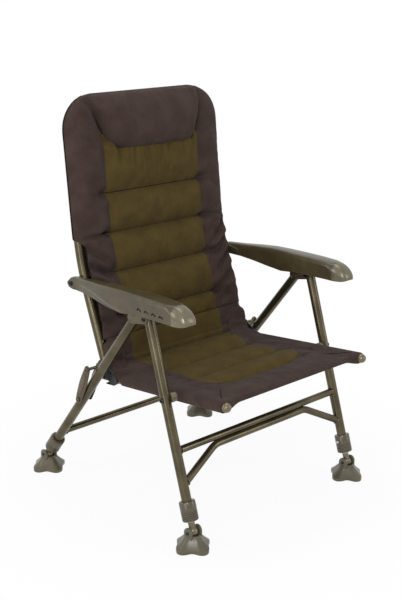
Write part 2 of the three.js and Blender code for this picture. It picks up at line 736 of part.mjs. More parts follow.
// Armrest sections from the hub to the nose, as shares of the reach ahead of the hub, of the rise above it and of
// the drop below it.
const armSectionShares = [
  [-0.038, 0.2, 0.3],
  [-0.02, 0.46, 0.64],
  [0.022, 0.54, 0.74],
  [0.134, 0.62, 0.6],
  [0.246, 0.75, 0.68],
  [0.379, 0.88, 0.89],
  [0.491, 0.94, 1],
  [0.625, 0.98, 0.58],
  [0.759, 1, 0.5],
  [0.866, 0.96, 0.43],
  [0.902, 0.87, 0.4],
  [0.946, 0.64, 0.36],
  [0.982, 0.23, 0.23],
  [1, -0.12, 0.2],
];
const armSections = armSectionShares.map(([ahead, top, under]) => {
  return [ahead * armReach, top * armRise, under * armDrop];
});
const armSideShares = [0, 0.45, 0.8];
const armCornerShare = 0.6;

function armInnerAt(ahead) {
  const flare = THREE.MathUtils.smoothstep(ahead, armWaistAhead, armFlareAhead);
  return THREE.MathUtils.lerp(armRearInnerFace, armInnerFace, flare);
}

// One cross-section of the armrest: a closed ring with rounded upper corners and a crowned top.
function armRing(hand, [ahead, top, under], inset) {
  const inner = armInnerAt(ahead) + inset;
  const outer = armOuterFace - inset;
  const high = armHub.z + top - inset;
  const low = armHub.z - under;
  const corner = Math.min(armCornerRadius - inset, (high - low) * armCornerShare);
  const y = armHub.y - ahead;
  const ring = [];
  const put = (x, z) => ring.push(vector(hand * x, y, z));
  armSideShares.forEach((share) => put(inner, low + (high - corner - low) * share));
  for (let step = 0; step <= cornerSteps; step += 1) {
    const turn = (Math.PI / 2) * (step / cornerSteps);
    put(inner + corner * (1 - Math.cos(turn)), high - corner * (1 - Math.sin(turn)));
  }
  put((inner + outer) / 2, high + armCrown);
  for (let step = cornerSteps; step >= 0; step -= 1) {
    const turn = (Math.PI / 2) * (step / cornerSteps);
    put(outer - corner * (1 - Math.cos(turn)), high - corner * (1 - Math.sin(turn)));
  }
  armSideShares.slice().reverse().forEach((share) => put(outer, low + (high - corner - low) * share));
  return ring;
}

// The rack over the catch bar: a ceiling just above the bar, with teeth whose steep faces look back.
function toothRack() {
  const ceiling = catchBar.z + catchBarRadius + runningGap;
  const firstFace = catchBar.y + toothBehindCatch;
  const rack = new THREE.Shape();
  const rearEnd = firstFace + toothPitch / 2;
  const frontEnd = firstFace - toothPitch * (toothCount - 0.5);
  const roof = armHub.z + armRise - armWall + weldOverlap;
  rack.moveTo(rearEnd, roof);
  rack.lineTo(rearEnd, ceiling);
  for (let tooth = 0; tooth < toothCount; tooth += 1) {
    const face = firstFace - tooth * toothPitch;
    rack.lineTo(face, ceiling);
    rack.lineTo(face, ceiling - toothHeight);
    rack.lineTo(face - toothRamp, ceiling);
  }
  rack.lineTo(frontEnd, ceiling);
  rack.lineTo(frontEnd, roof);
  rack.closePath();
  return rack;
}

function armrest(hand) {
  const shell = loft(armSections.map((section) => armRing(hand, section, 0)));
  const hollow = armSections.slice(2, -3).map(([ahead, top, under]) => {
    return armRing(hand, [ahead, top, under + cutOverrun], armWall);
  });
  const hubFrom = across(armHub, hand * armRearInnerFace);
  const hubTo = across(armHub, hand * armOuterFace);
  const boss = rod(hubFrom, hubTo, armHubRadius);
  const rackInner = armInnerAt(armFlareAhead) + armWall - weldOverlap;
  const rack = sidePlate(toothRack(), hand * rackInner, hand * (armOuterFace - armWall + weldOverlap));
  const hubEye = boltHole(armHub, hand * (armRearInnerFace - cutOverrun), hand * (armOuterFace + cutOverrun));
  let arm = shell.subtract(loft(hollow)).add(boss).add(rack);
  for (let slit = 0; slit + 1 < toothCount; slit += 1) {
    arm = arm.subtract(ratchetSlit(hand, catchBar.y + toothBehindCatch - slit * toothPitch));
  }
  return arm.subtract(hubEye);
}

// A slit through the outer wall at a tooth: a short rise and a longer fall.
function ratchetSlit(hand, y) {
  const z = catchBar.z + catchBarRadius + slotHeight / 2;
  const chevron = new THREE.Shape();
  chevron.moveTo(y + slotHeight, z - slotHeight);
  chevron.lineTo(y, z);
  chevron.lineTo(y - 2 * slotHeight, z - slotHeight);
  chevron.lineTo(y - 2 * slotHeight, z - slotHeight + slotWidth);
  chevron.lineTo(y, z + slotWidth);
  chevron.lineTo(y + slotHeight, z - slotHeight + slotWidth);
  chevron.closePath();
  return sidePlate(chevron, hand * (armOuterFace - armWall / 2), hand * (armOuterFace + cutOverrun));
}

// A cushion laid on a frame, in rows at the places `alongs`: `frameAt` gives the point at a place and a height
// over the frame, `topAt` and `baseAt` the heights of its two faces, `halfAt` its half-width.
function cushion(alongs, columns, frameAt, halfAt, topAt, baseAt) {
  const rings = alongs.map((along) => {
    const half = halfAt(along);
    const ring = [];
    for (let column = 0; column <= columns; column += 1) {
      const x = half * Math.sin((Math.PI / 2) * ((2 * column) / columns - 1));
      ring.push(across(frameAt(along, topAt(along, x / half, x)), x));
    }
    for (let column = columns; column >= 0; column -= 2) {
      const x = half * Math.sin((Math.PI / 2) * ((2 * column) / columns - 1));
      ring.push(across(frameAt(along, baseAt(along, x / half, x)), x));
    }
    return ring;
  });
  return loft(rings);
}

const evenly = (from, to, steps) => Array.from({ length: steps + 1 }, (_, i) => from + ((to - from) * i) / steps);

// How far a sewn line draws the surface in, at a distance from it.
const drawnIn = (distance, halfWidth = channelHalfWidth) => Math.exp(-((distance / halfWidth) ** 2) * 2);

// Rows over a quilted length: one on each seam, one on either side of it, and the rest evenly between them.
function quiltRows(from, to, seams, halfWidth, pitch) {
  const stops = [from, ...seams.flatMap((seam) => [seam - halfWidth, seam, seam + halfWidth]), to];
  return stops.slice(1).flatMap((stop, i) => {
    const steps = Math.max(1, Math.round((stop - stops[i]) / pitch));
    return evenly(stops[i], stop, steps).slice(i ? 1 : 0);
  });
}

// The seat pad sags between the rails and climbs to the back hinge; its green patch is sewn into three rolls.
function seatCover() {
  const { lerp, smoothstep } = THREE.MathUtils;
  const front = -railAheadOfPivot - seatCoverFront;
  const rear = hingeBehindPivot - seatCoverRearBeforeHinge;
  const neck = hingeBehindPivot - hingeEarRootAhead - earOutside - seatCoverNeckGap;
  const wide = halfRails + railTubeRadius + coverSkin;
  const narrow = halfRails - earOutside - seatCoverNeckGap;
  const overRail = (x) => smoothstep(Math.abs(x), halfRails - seatRailBlend, halfRails);
  const sag = (along) => {
    const slope = lerp(seatFrontHeight, seatMiddleHeight, smoothstep(along, front, front + seatFrontSlope));
    return lerp(slope, seatRearHeight, smoothstep(along, rear - seatRearSlope, rear));
  };
  const thick = (along) => {
    const inward = Math.min((along - front) / seatHemLength, (rear - along) / seatHemLength, 1);
    return seatPadThickness * lerp(0.4, 1, Math.sqrt(1 - (1 - inward) ** 2));
  };
  const rolls = (along, x) => {
    const inGreen = 1 - smoothstep(Math.abs(x), greenHalfWidth - seatSeamHalfWidth, greenHalfWidth + seatSeamHalfWidth);
    const begun = smoothstep(along, seatPatchFront - seatSeamHalfWidth, seatPatchFront + seatSeamHalfWidth);
    const sewn = seatSeams.reduce((sum, seam) => sum + drawnIn(along - seam, seatSeamHalfWidth), 0);
    return (seatRollRise - seatSeamDepth * sewn) * inGreen * begun;
  };
  const top = (along, side, x) => {
    const middle = sag(along) + rolls(along, x) - (seatPadThickness - thick(along)) / 2;
    return lerp(middle, railTubeRadius + coverSkin, overRail(x));
  };
  const base = (along, side, x) => {
    return lerp(sag(along) - (seatPadThickness + thick(along)) / 2, -seatCoverBelowRail, overRail(x));
  };
  const quilted = quiltRows(seatPatchFront - seatSeamHalfWidth, neck - neckBlend, seatSeams, seatSeamHalfWidth,
    seatRowPitch);
  const hem = [front, front + seatHemLength / 3, front + seatHemLength];
  const alongs = [...hem, ...evenly(front + seatHemLength, quilted[0], 3).slice(1), ...quilted.slice(1), neck,
    ...evenly(neck + neckBlend, rear, 3)];
  const halfAt = (along) => (along < neck ? wide : narrow);
  let open = cushion(alongs, 16, onRail, halfAt, top, base);
  for (const hand of [-1, 1]) {
    const x = hand * halfRails;
    const channel = rod(across(onRail(front - cutOverrun, 0), x), across(onRail(rear + cutOverrun, 0), x),
      railTubeRadius + runningGap);
    const nut = boltHole(seatPivot, x, x - hand * (railTubeRadius + nutNotchDepth), boltNotchRadius);
    const notch = boltHole(seatPivot, x + hand * railTubeRadius / 2, x + hand * 2 * railTubeRadius, spacerNotchRadius);
    open = open.subtract(channel).subtract(nut).subtract(notch);
  }
  return open;
}

function backCover() {
  const foot = backCoverFootRise;
  const top = backTubeTop + backTubeRadius + backCoverAboveTube;
  const wide = halfRails + backTubeRadius + coverSkin;
  const hood = (along) => THREE.MathUtils.smoothstep(along, hoodFootAlongBack - hoodFootBlend, hoodFootAlongBack);
  const halfAt = (along) => {
    const body = THREE.MathUtils.lerp(backNarrowHalfWidth, wide, hood(along));
    const below = Math.max(0, along - (top - backCornerRadius - backTubeRadius));
    const corner = backCornerRadius + backTubeRadius + coverSkin;
    return body - corner + Math.sqrt(Math.max(0, corner ** 2 - below ** 2));
  };
  const thick = (along, side, x) => {
    const rise = THREE.MathUtils.smoothstep(along, foot, foot + backFootTaper);
    const full = THREE.MathUtils.lerp(backCoverFootThickness, backCoverThickness, rise);
    const brow = Math.sqrt(Math.max(0, 1 - THREE.MathUtils.smoothstep(along, top - backCornerRadius, top) ** 4));
    const seams = backSeams.reduce((sum, seam) => sum + drawnIn(along - seam), 0);
    const inGreen = 1 - THREE.MathUtils.smoothstep(Math.abs(x), greenHalfWidth - channelHalfWidth, greenHalfWidth);
    const sewn = channelDepth * (seams * inGreen + 0.6 * drawnIn(Math.abs(x) - greenHalfWidth)) * rise;
    const base = backTubeRadius + coverSkin;
    return base + (full - base) * (1 - side ** 6) * brow - sewn * (1 - side ** 6) * brow;
  };
  const behind = (along) => THREE.MathUtils.lerp(0, -backCoverRearSkin, hood(along));
  const quilted = quiltRows(foot, top - backCornerRadius, backSeams, channelHalfWidth, backRowPitch);
  const alongs = [...quilted, ...evenly(top - backCornerRadius, top, 6).slice(1)];
  const cover = cushion(alongs, 16, onBack, halfAt, thick, behind);
  return cover.subtract(backTubeChannel()).subtract(nutPockets());
}

// The padded strip across the back hinge: round about the pin line, and full where the back's cover meets it.
function hingeStrip() {
  const { lerp, smoothstep } = THREE.MathUtils;
  const round = (along) => Math.sqrt(Math.max(0, hingeStripRadius ** 2 - Math.min(along, 0) ** 2));
  const ahead = (along) => {
    return lerp(round(along), hingeStripThickness, smoothstep(along, 0, hingeStripTop - hingeStripRadius));
  };
  const behind = (along) => -round(along) * (1 - smoothstep(along, 0, hingeStripTop - hingeStripRadius)) / 2;
  const turns = evenly(-1, 0, 4).slice(0, -1).map((share) => hingeStripRadius * Math.sin(share * Math.PI * 0.48));
  const alongs = [...turns, ...evenly(0, hingeStripTop, 4)];
  return cushion(alongs, 8, onBack, () => hingeStripHalfWidth, ahead, behind);
}

// The hinge plate of an armrest, between the backrest tube and the moulding.
function armrestPlate(hand) {
  const tip = vector(0, armHub.y - armPlateLength, armHub.z);
  const outline = strapOutline(armHub, armPlateRootRadius, tip, armPlateTipRadius);
  const from = hand * (halfRails + backTubeRadius + runningGap);
  const to = hand * (armRearInnerFace - runningGap);
  return sidePlate(outline, from, to).subtract(boltHole(armHub, from - hand * cutOverrun, to + hand * cutOverrun));
}

// The pocket that the hood leaves for the backrest tube.
function backTubeChannel() {
  const bend = Array.from({ length: bendSteps + 1 }, (_, i) => {
    return onBack(backFootLength + (backBendLength * i) / bendSteps);
  });
  const rise = [onBack(backCoverFootRise - backFootTaper), ...bend];
  const top = onBack(backTubeTop);
  const shoulder = onBack(backTubeTop - backCornerRadius * 2);
  const corners = [across(shoulder, halfRails), across(top, halfRails), across(top, -halfRails),
    across(shoulder, -halfRails)];
  const path = [
    ...rise.map((p) => across(p, halfRails)),
    ...rounded(corners, backCornerRadius),
    ...rise.slice().reverse().map((p) => across(p, -halfRails)),
  ];
  return tube(path, backTubeRadius + runningGap);
}

function nutPockets() {
  return joined([-1, 1].map((hand) => {
    const inner = halfRails - backTubeRadius - nutNotchDepth;
    return boltHole(armHub, hand * inner, hand * halfRails, boltNotchRadius);
  }));
}

// The headrest pillow lies on the upper back, wider at its top.
function headrestPillow() {
  const top = backTubeTop + backTubeRadius + backCoverAboveTube - headrestTopBelowEdge;
  const shareAt = (along) => 1 - (top - along) / headrestHeight;
  const lying = backCoverThickness + runningGap;
  const halfAt = (along) => {
    const share = shareAt(along);
    const rounding = Math.sqrt(1 - (1 - Math.min(1, Math.min(share, 1 - share) / headrestCornerShare)) ** 2);
    const straight = THREE.MathUtils.lerp(headrestHalfFoot, headrestHalfTop, share);
    return straight - headrestCorner * (1 - rounding);
  };
  const bulge = (along, side) => {
    const round = Math.sqrt(Math.max(0, 1 - (2 * shareAt(along) - 1) ** 4)) * Math.sqrt(1 - side ** 4);
    return lying + headrestEdge + (headrestThickness - headrestEdge) * round;
  };
  return cushion(evenly(top - headrestHeight, top, 8), 10, onBack, halfAt, bulge, () => lying);
}

// The chair
addPiece("front_leg_frame", frontLegFrame(), paint);
addPiece("rear_leg_frame", rearLegFrame(), paint);
addPiece("seat_frame", seatFrame(), paint);
addPiece("backrest_frame", backrestFrame(), paint);
addPiece("seat_cover", seatCover(), brownFabric);
addPiece("back_cover", backCover(), brownFabric);
addPiece("headrest_pillow", headrestPillow(), brownFabric);
addPiece("hinge_strip", hingeStrip(), brownFabric);

for (const [side, hand] of [["right", -1], ["left", 1]]) {
  addPiece(`leg_pivot_bolt_${side}`, bolt(legPivot, halfLegs - plateOutside, halfLegs + plateOutside, hand), steel);
  addPiece(`armrest_catch_${side}`, armrestCatch(hand), blackPlastic);
  addPiece(`seat_pivot_bolt_${side}`,
    bolt(seatPivot, halfRails - railTubeRadius, halfLegs + legTubeRadius, hand), steel);
  const spacerFrom = across(seatPivot, hand * (halfRails + railTubeRadius + runningGap));
  const spacerTo = across(seatPivot, hand * (halfLegs - legTubeRadius - runningGap));
  addPiece(`seat_pivot_spacer_${side}`, rod(spacerFrom, spacerTo, spacerRadius)
    .subtract(boltHole(seatPivot, spacerFrom.x - hand * cutOverrun, spacerTo.x + hand * cutOverrun)), tanPlastic);
  addPiece(`rail_ball_${side}`, railBall(hand), bronze);
  addPiece(`hinge_bracket_${side}`, hingeBracket(hand), blackPlastic);
  addPiece(`back_hinge_pin_${side}`,
    bolt(backHinge, halfRails - earOutside, halfRails + earOutside, hand, boltHeadHeight, thinHeadHeight), steel);
  addPiece(`link_outer_${side}`, linkPlate(hand, linkOuterFace), paint);
  addPiece(`link_inner_${side}`, linkPlate(hand, linkInnerFace + plateThickness), paint);
  for (const [end, pivot] of [["upper", backHinge], ["lower", linkPivot]]) {
    addPiece(`link_bolt_${end}_${side}`, bolt(pivot, linkInnerFace, linkOuterFace, hand, thinHeadHeight), steel);
  }
  addPiece(`armrest_${side}`, armrest(hand), moulding);
  addPiece(`armrest_bolt_${side}`, bolt(armHub, halfRails - backTubeRadius, armOuterFace, hand), steel);
  addPiece(`armrest_plate_${side}`, armrestPlate(hand), steel);

  for (const [end, ankle, up] of [["front", frontAnkle, frontUp], ["rear", rearAnkle, rearUp]]) {
    const x = hand * halfLegs;
    const buttonWay = vector(-hand, 0, 0);
    addPiece(`collar_${end}_${side}`, collar(ankle, up, x, buttonWay), moulding);
    addPiece(`collar_button_${end}_${side}`, collarButton(ankle, up, x, buttonWay), zinc);
    addPiece(`inner_leg_${end}_${side}`, innerLeg(ankle, up, x), zinc);
    addPiece(`ankle_${end}_${side}`, ankleBall(ankle, up, x), bronze);
    addPiece(`foot_${end}_${side}`, mudFoot(ankle, x), footPlastic);
    addPiece(`foot_pin_${end}_${side}`, footPin(ankle, x), blackPlastic);
  }
}

export default group;
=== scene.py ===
import json
import math
import random

import bmesh
import bpy
from mathutils import Matrix, Vector


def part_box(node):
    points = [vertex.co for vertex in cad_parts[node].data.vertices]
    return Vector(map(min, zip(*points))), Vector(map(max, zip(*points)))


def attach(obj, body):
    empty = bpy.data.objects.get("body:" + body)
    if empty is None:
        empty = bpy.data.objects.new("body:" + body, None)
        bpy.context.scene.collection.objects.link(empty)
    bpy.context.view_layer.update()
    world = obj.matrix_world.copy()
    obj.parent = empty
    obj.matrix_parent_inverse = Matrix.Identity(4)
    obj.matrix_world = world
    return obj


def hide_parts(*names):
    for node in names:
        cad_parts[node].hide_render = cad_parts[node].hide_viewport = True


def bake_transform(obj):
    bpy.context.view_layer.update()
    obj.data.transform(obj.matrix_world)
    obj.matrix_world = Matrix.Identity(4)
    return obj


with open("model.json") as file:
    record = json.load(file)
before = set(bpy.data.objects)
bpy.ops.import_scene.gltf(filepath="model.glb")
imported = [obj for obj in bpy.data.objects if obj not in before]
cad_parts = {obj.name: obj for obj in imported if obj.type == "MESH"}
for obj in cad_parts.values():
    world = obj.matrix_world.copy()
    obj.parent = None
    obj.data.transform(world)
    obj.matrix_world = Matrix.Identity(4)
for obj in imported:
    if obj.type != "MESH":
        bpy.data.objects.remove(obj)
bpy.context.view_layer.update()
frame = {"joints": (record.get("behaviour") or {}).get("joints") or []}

mm = 0.001
sides = {"right": -1, "left": 1}  # the sitter's own right lies at negative X
ends = ("front", "rear")


# places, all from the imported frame

jointAt = {j["name"]: Vector(j["pos_m"]) for j in frame["joints"] if "pos_m" in j}
slideWay = {j["name"]: Vector(j["axis"]) for j in frame["joints"] if j["type"] == "slide"}
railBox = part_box("seat_frame")
tubeRadius = 12.5 * mm


def sidePlace(name):
    place = jointAt[name].copy()
    place.x = 0
    return place


legPivot = sidePlace("leg_fold")
seatPivot = sidePlace("seat_fold")
backHinge = sidePlace("back_fold")
linkPivot = sidePlace("link_fold_right")
armHub = sidePlace("armrest_fold_right")
ankleAt = {"front": sidePlace("foot_tilt_front_right"), "rear": sidePlace("foot_tilt_rear_right")}
legWay = {end: -slideWay["leg_extend_" + end + "_right"].normalized() for end in ends}
halfLegs = abs(jointAt["foot_tilt_front_right"].x)
halfRails = railBox[1].x - tubeRadius
seatPitch = math.radians(6.3)
railBack = Vector((0, math.cos(seatPitch), -math.sin(seatPitch)))
railUp = Vector((0, math.sin(seatPitch), math.cos(seatPitch)))


def atX(place, x):
    return Vector((x, place.y, place.z))


def onRail(along, above=0.0, x=0.0):
    return atX(seatPivot + railBack * along + railUp * above, x)


backLine = {
    "footLean": math.radians(21.5),
    "topLean": math.radians(6.5),
    "footLength": 180 * mm,
    "bendLength": 184 * mm,
    "topLength": 320 * mm,
    "cornerRadius": 78 * mm,
}
tubeTop = backLine["footLength"] + backLine["bendLength"] + backLine["topLength"]


def onBack(along, ahead=0.0, x=0.0):
    foot, top = backLine["footLean"], backLine["topLean"]
    length, bend = backLine["footLength"], backLine["bendLength"]
    bendRadius = bend / (foot - top)
    lean = foot - min(max((along - length) / bend, 0), 1) * (foot - top)
    place = backHinge + Vector((0, math.sin(foot), math.cos(foot))) * min(along, length)
    if along > length:
        place += Vector((0, math.cos(lean) - math.cos(foot), math.sin(foot) - math.sin(lean))) * bendRadius
    if along > length + bend:
        place += Vector((0, math.sin(lean), math.cos(lean))) * (along - length - bend)
    place += Vector((0, -math.cos(lean), math.sin(lean))) * ahead
    return atX(place, x)


def smoothStep(value, low, high):
    share = min(max((value - low) / (high - low), 0), 1)
    return share * share * (3 - 2 * share)


def mix(a, b, share):
    return a + (b - a) * share


# colours and material nodes


def linearColour(code):
    def one(value):
        return value / 12.92 if value <= 0.04045 else ((value + 0.055) / 1.055) ** 2.4

    return tuple(one(int(code[i:i + 2], 16) / 255) for i in (1, 3, 5)) + (1.0,)


def addNode(tree, kind, inputs=None, **settings):
    node = tree.nodes.new(kind)
    for name, value in settings.items():
        setattr(node, name, value)
    for name, value in (inputs or {}).items():
        if isinstance(value, bpy.types.NodeSocket):
            tree.links.new(value, node.inputs[name])
        else:
            node.inputs[name].default_value = value
    return node


def newMaterial(name, colour, roughness, metallic=0.0, **sockets):
    material = bpy.data.materials.new(name)
    material.use_nodes = True
    tree = material.node_tree
    shader = tree.nodes["Principled BSDF"]
    shader.inputs["Base Color"].default_value = linearColour(colour)
    shader.inputs["Roughness"].default_value = roughness
    shader.inputs["Metallic"].default_value = metallic
    for socket, value in sockets.items():
        shader.inputs[socket].default_value = value
    material.diffuse_color = linearColour(colour)
    return material, tree, shader


def colourPatches(tree, shader, dark, light, patchSize, source, low=0.35, high=0.65):
    noise = addNode(tree, "ShaderNodeTexNoise", {"Vector": source, "Scale": 1 / patchSize, "Detail": 4.0})
    ramp = addNode(tree, "ShaderNodeValToRGB", {"Fac": noise.outputs["Fac"]})
    ramp.color_ramp.elements[0].position = low
    ramp.color_ramp.elements[1].position = high
    ramp.color_ramp.elements[0].color = linearColour(dark)
    ramp.color_ramp.elements[1].color = linearColour(light)
    tree.links.new(ramp.outputs["Color"], shader.inputs["Base Color"])
    return ramp


# steel tube under a bronze-olive metallic powder coat: satin, with a fine orange-peel surface
def coatedSteel(name, dark, light, roughness):
    material, tree, shader = newMaterial(name, light, roughness, 0.75)
    place = addNode(tree, "ShaderNodeTexCoord").outputs["Object"]
    colourPatches(tree, shader, dark, light, 60 * mm, place)
    peel = addNode(tree, "ShaderNodeTexNoise", {"Vector": place, "Scale": 1 / (1.4 * mm), "Detail": 2.0})
    wear = addNode(tree, "ShaderNodeTexNoise", {"Vector": place, "Scale": 1 / (25 * mm), "Detail": 5.0})
    rough = addNode(tree, "ShaderNodeMapRange", {"Value": wear.outputs["Fac"], "To Min": roughness - 0.06,
                                                 "To Max": roughness + 0.1})
    tree.links.new(rough.outputs["Result"], shader.inputs["Roughness"])
    bump = addNode(tree, "ShaderNodeBump", {"Height": peel.outputs["Fac"], "Strength": 0.12, "Distance": 0.1 * mm})
    tree.links.new(bump.outputs["Normal"], shader.inputs["Normal"])
    return material


# moulded ABS with a fine spark-eroded grain, satin
def mouldedAbs(name, dark, light, roughness, grain=0.8, metallic=0.0):
    material, tree, shader = newMaterial(name, light, roughness, metallic)
    place = addNode(tree, "ShaderNodeTexCoord").outputs["Object"]
    colourPatches(tree, shader, dark, light, 35 * mm, place)
    texture = addNode(tree, "ShaderNodeTexNoise", {"Vector": place, "Scale": 1 / (grain * mm), "Detail": 3.0})
    bump = addNode(tree, "ShaderNodeBump", {"Height": texture.outputs["Fac"], "Strength": 0.2,
                                            "Distance": 0.12 * mm})
    tree.links.new(bump.outputs["Normal"], shader.inputs["Normal"])
    return material


waveRepeat = 0.314  # a wave texture of scale 1 repeats its bands this many metres apart


# woven polyester with a short brushed nap: a fine diagonal rib, drawn 4 mm apart so that it shows
def brushedPolyester(name, dark, light, ribSpacing, sheen):
    material, tree, shader = newMaterial(name, light, 0.88)
    shader.inputs["Sheen Weight"].default_value = sheen
    shader.inputs["Sheen Roughness"].default_value = 0.5
    shader.inputs["Specular IOR Level"].default_value = 0.15
    flat = addNode(tree, "ShaderNodeUVMap", uv_map="clothMetres").outputs["UV"]
    ramp = colourPatches(tree, shader, dark, light, 45 * mm, flat, 0.3, 0.7)
    turned = addNode(tree, "ShaderNodeMapping", {"Vector": flat, "Rotation": (0, 0, math.radians(35))})
    crossed = addNode(tree, "ShaderNodeMapping", {"Vector": flat, "Rotation": (0, 0, math.radians(-55))})
    ribs = addNode(tree, "ShaderNodeTexWave", {
        "Vector": turned.outputs["Vector"], "Scale": waveRepeat / ribSpacing, "Distortion": 0.6, "Detail": 1.0},
        wave_type="BANDS")
    picks = addNode(tree, "ShaderNodeTexWave", {
        "Vector": crossed.outputs["Vector"], "Scale": 2 * waveRepeat / ribSpacing, "Distortion": 0.4, "Detail": 1.0},
        wave_type="BANDS")
    nap = addNode(tree, "ShaderNodeTexNoise", {"Vector": flat, "Scale": 1 / (1.2 * mm), "Detail": 3.0})
    both = addNode(tree, "ShaderNodeMath", {0: ribs.outputs["Fac"], 1: picks.outputs["Fac"]}, operation="ADD")
    height = addNode(tree, "ShaderNodeMath", {0: both.outputs["Value"], 1: nap.outputs["Fac"]}, operation="ADD")
    bump = addNode(tree, "ShaderNodeBump", {"Height": height.outputs["Value"], "Strength": 0.55,
                                            "Distance": 0.35 * mm})
    tree.links.new(bump.outputs["Normal"], shader.inputs["Normal"])
    shade = addNode(tree, "ShaderNodeMapRange", {"Value": both.outputs["Value"], "From Max": 2.0, "To Min": 0.66,
                                                 "To Max": 1.28})
    tint = addNode(tree, "ShaderNodeMix", {"Factor": 1.0, 6: ramp.outputs["Color"], 7: shade.outputs["Result"]},
                   data_type="RGBA", blend_type="MULTIPLY")
    tree.links.new(tint.outputs[2], shader.inputs["Base Color"])
    return material


finish = {
    "tube": coatedSteel("bronzeCoatedSteel", "#4a4332", "#5c543f", 0.21),
    "plate": coatedSteel("coatedSteelPlate", "#554c3c", "#655b49", 0.38),
    "bolt": coatedSteel("blackenedSteel", "#202024", "#303236", 0.3),
    "zinc": coatedSteel("brightZincSteel", "#9a978e", "#bab7ae", 0.25),
    "arm": mouldedAbs("mouldedAbs", "#3f3725", "#4b422d", 0.28),
    "nose": mouldedAbs("polishedAbs", "#625b48", "#706955", 0.27, 2.0, 0.3),
    "collar": mouldedAbs("mouldedNylon", "#4c4535", "#5a5241", 0.2),
    "foot": mouldedAbs("mouldedPolypropylene", "#4c4736", "#5c5644", 0.28),
    "black": mouldedAbs("blackNylon", "#111112", "#1b1b1d", 0.42),
    "tan": mouldedAbs("tanNylon", "#5f5745", "#71684f", 0.45),
    "bronze": mouldedAbs("glossNylon", "#615844", "#766c56", 0.2, 2.0, 0.35),
    "brown": brushedPolyester("brownBrushedPolyester", "#382b27", "#463833", 4 * mm, 0.03),
    "green": brushedPolyester("olivePeachedPolyester", "#46391d", "#534522", 4.2 * mm, 0.01),
    # this very dark finish serves the real piping and also the painted shade cords in the sewn lines
    "piping": brushedPolyester("blackPipingAndSeamShade", "#171210", "#1f1815", 1.5 * mm, 0.0),
}


# making pieces


# the finish is a name, or a list of names for a piece of several; sharp is the angle of a sharp edge, in degrees
def makePiece(name, bm, coats, body, nodes=(), sharp=None):
    bmesh.ops.recalc_face_normals(bm, faces=bm.faces)
    mesh = bpy.data.meshes.new(name)
    bm.to_mesh(mesh)
    bm.free()
    piece = bpy.data.objects.new(name, mesh)
    bpy.context.scene.collection.objects.link(piece)
    for coat in [coats] if isinstance(coats, str) else coats:
        mesh.materials.append(finish[coat])
    mesh.shade_smooth()
    if body:
        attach(piece, body)
    if nodes:
        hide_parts(*nodes)
    if sharp:
        mesh.set_sharp_from_angle(angle=math.radians(sharp))
    return piece


# the mesh as its modifiers leave it; they are taken off
def bakedMesh(piece):
    made = bpy.data.meshes.new_from_object(piece.evaluated_get(bpy.context.evaluated_depsgraph_get()))
    piece.modifiers.clear()
    return made


def pathTurns(path):
    headings = [(b - a).normalized() for a, b in zip(path, path[1:])]
    turns = [headings[0]]
    for a, b in zip(headings, headings[1:]):
        turns.append((a + b).normalized())
    turns.append(headings[-1])
    return turns


# a tube drawn along a path: one ring, extruded step by step and turned with the path
def drawTube(bm, path, radius, ringSides=28, radii=None):
    turns = pathTurns(path)
    first = Vector((0, 0, 1)).rotation_difference(turns[0]).to_matrix().to_4x4()
    ring = bmesh.ops.create_circle(bm, cap_ends=False, segments=ringSides, radius=radius,
                                   matrix=Matrix.Translation(path[0]) @ first)["verts"]
    firstRing = ring
    edges = list({e for v in ring for e in v.link_edges})
    for step in range(1, len(path)):
        made = bmesh.ops.extrude_edge_only(bm, edges=edges)["geom"]
        ring = [g for g in made if isinstance(g, bmesh.types.BMVert)]
        edges = [g for g in made if isinstance(g, bmesh.types.BMEdge)]
        swing = turns[step - 1].rotation_difference(turns[step]).to_matrix()
        bmesh.ops.translate(bm, verts=ring, vec=path[step] - path[step - 1])
        bmesh.ops.rotate(bm, verts=ring, cent=path[step], matrix=swing)
        if radii:
            share = radii[step] / radii[step - 1]
            for vert in ring:
                vert.co = path[step] + (vert.co - path[step]) * share
    for loop in (firstRing, ring):
        loopEdges = [e for v in loop for e in v.link_edges if e.is_boundary]
        bmesh.ops.edgeloop_fill(bm, edges=list(set(loopEdges)))


# a path with its corners rounded to a radius
def bendPath(corners, radius, steps=10):
    path = [corners[0]]
    for before, corner, after in zip(corners, corners[1:], corners[2:]):
        back, ahead = (before - corner).normalized(), (after - corner).normalized()
        half = back.angle(ahead) / 2
        centre = corner + (back + ahead).normalized() * (radius / math.sin(half))
        spoke = corner + back * (radius / math.tan(half)) - centre
        axis = spoke.cross(corner + ahead * (radius / math.tan(half)) - centre).normalized()
        for step in range(steps + 1):
            swing = Matrix.Rotation((math.pi - 2 * half) * step / steps, 3, axis)
            path.append(centre + swing @ spoke)
    path.append(corners[-1])
    return path


# a turned body: the profile holds [distance along, radius] pairs in millimetres, spun round its line
def spinProfile(bm, start, way, profile, steps=32):
    side = way.orthogonal().normalized()
    verts = [bm.verts.new(start + way * (along * mm) + side * (radius * mm)) for along, radius in profile]
    edges = [bm.edges.new(pair) for pair in zip(verts, verts[1:])]
    bmesh.ops.spin(bm, geom=verts + edges, cent=start, axis=way, angle=2 * math.pi, steps=steps, use_merge=True,
                   use_duplicate=False)
    bmesh.ops.remove_doubles(bm, verts=bm.verts, dist=0.002 * mm)
    return bm


def turnedPiece(name, start, way, profile, coat, body, nodes=(), steps=32, degrees=32):
    return makePiece(name, spinProfile(bmesh.new(), start, way, profile, steps), coat, body, nodes, degrees)


# a turned body joined into a piece that is being made
def addSpun(bm, start, way, profile, steps):
    other = spinProfile(bmesh.new(), start, way, profile, steps)
    mesh = bpy.data.meshes.new("joined")
    other.to_mesh(mesh)
    other.free()
    bm.from_mesh(mesh)
    bpy.data.meshes.remove(mesh)


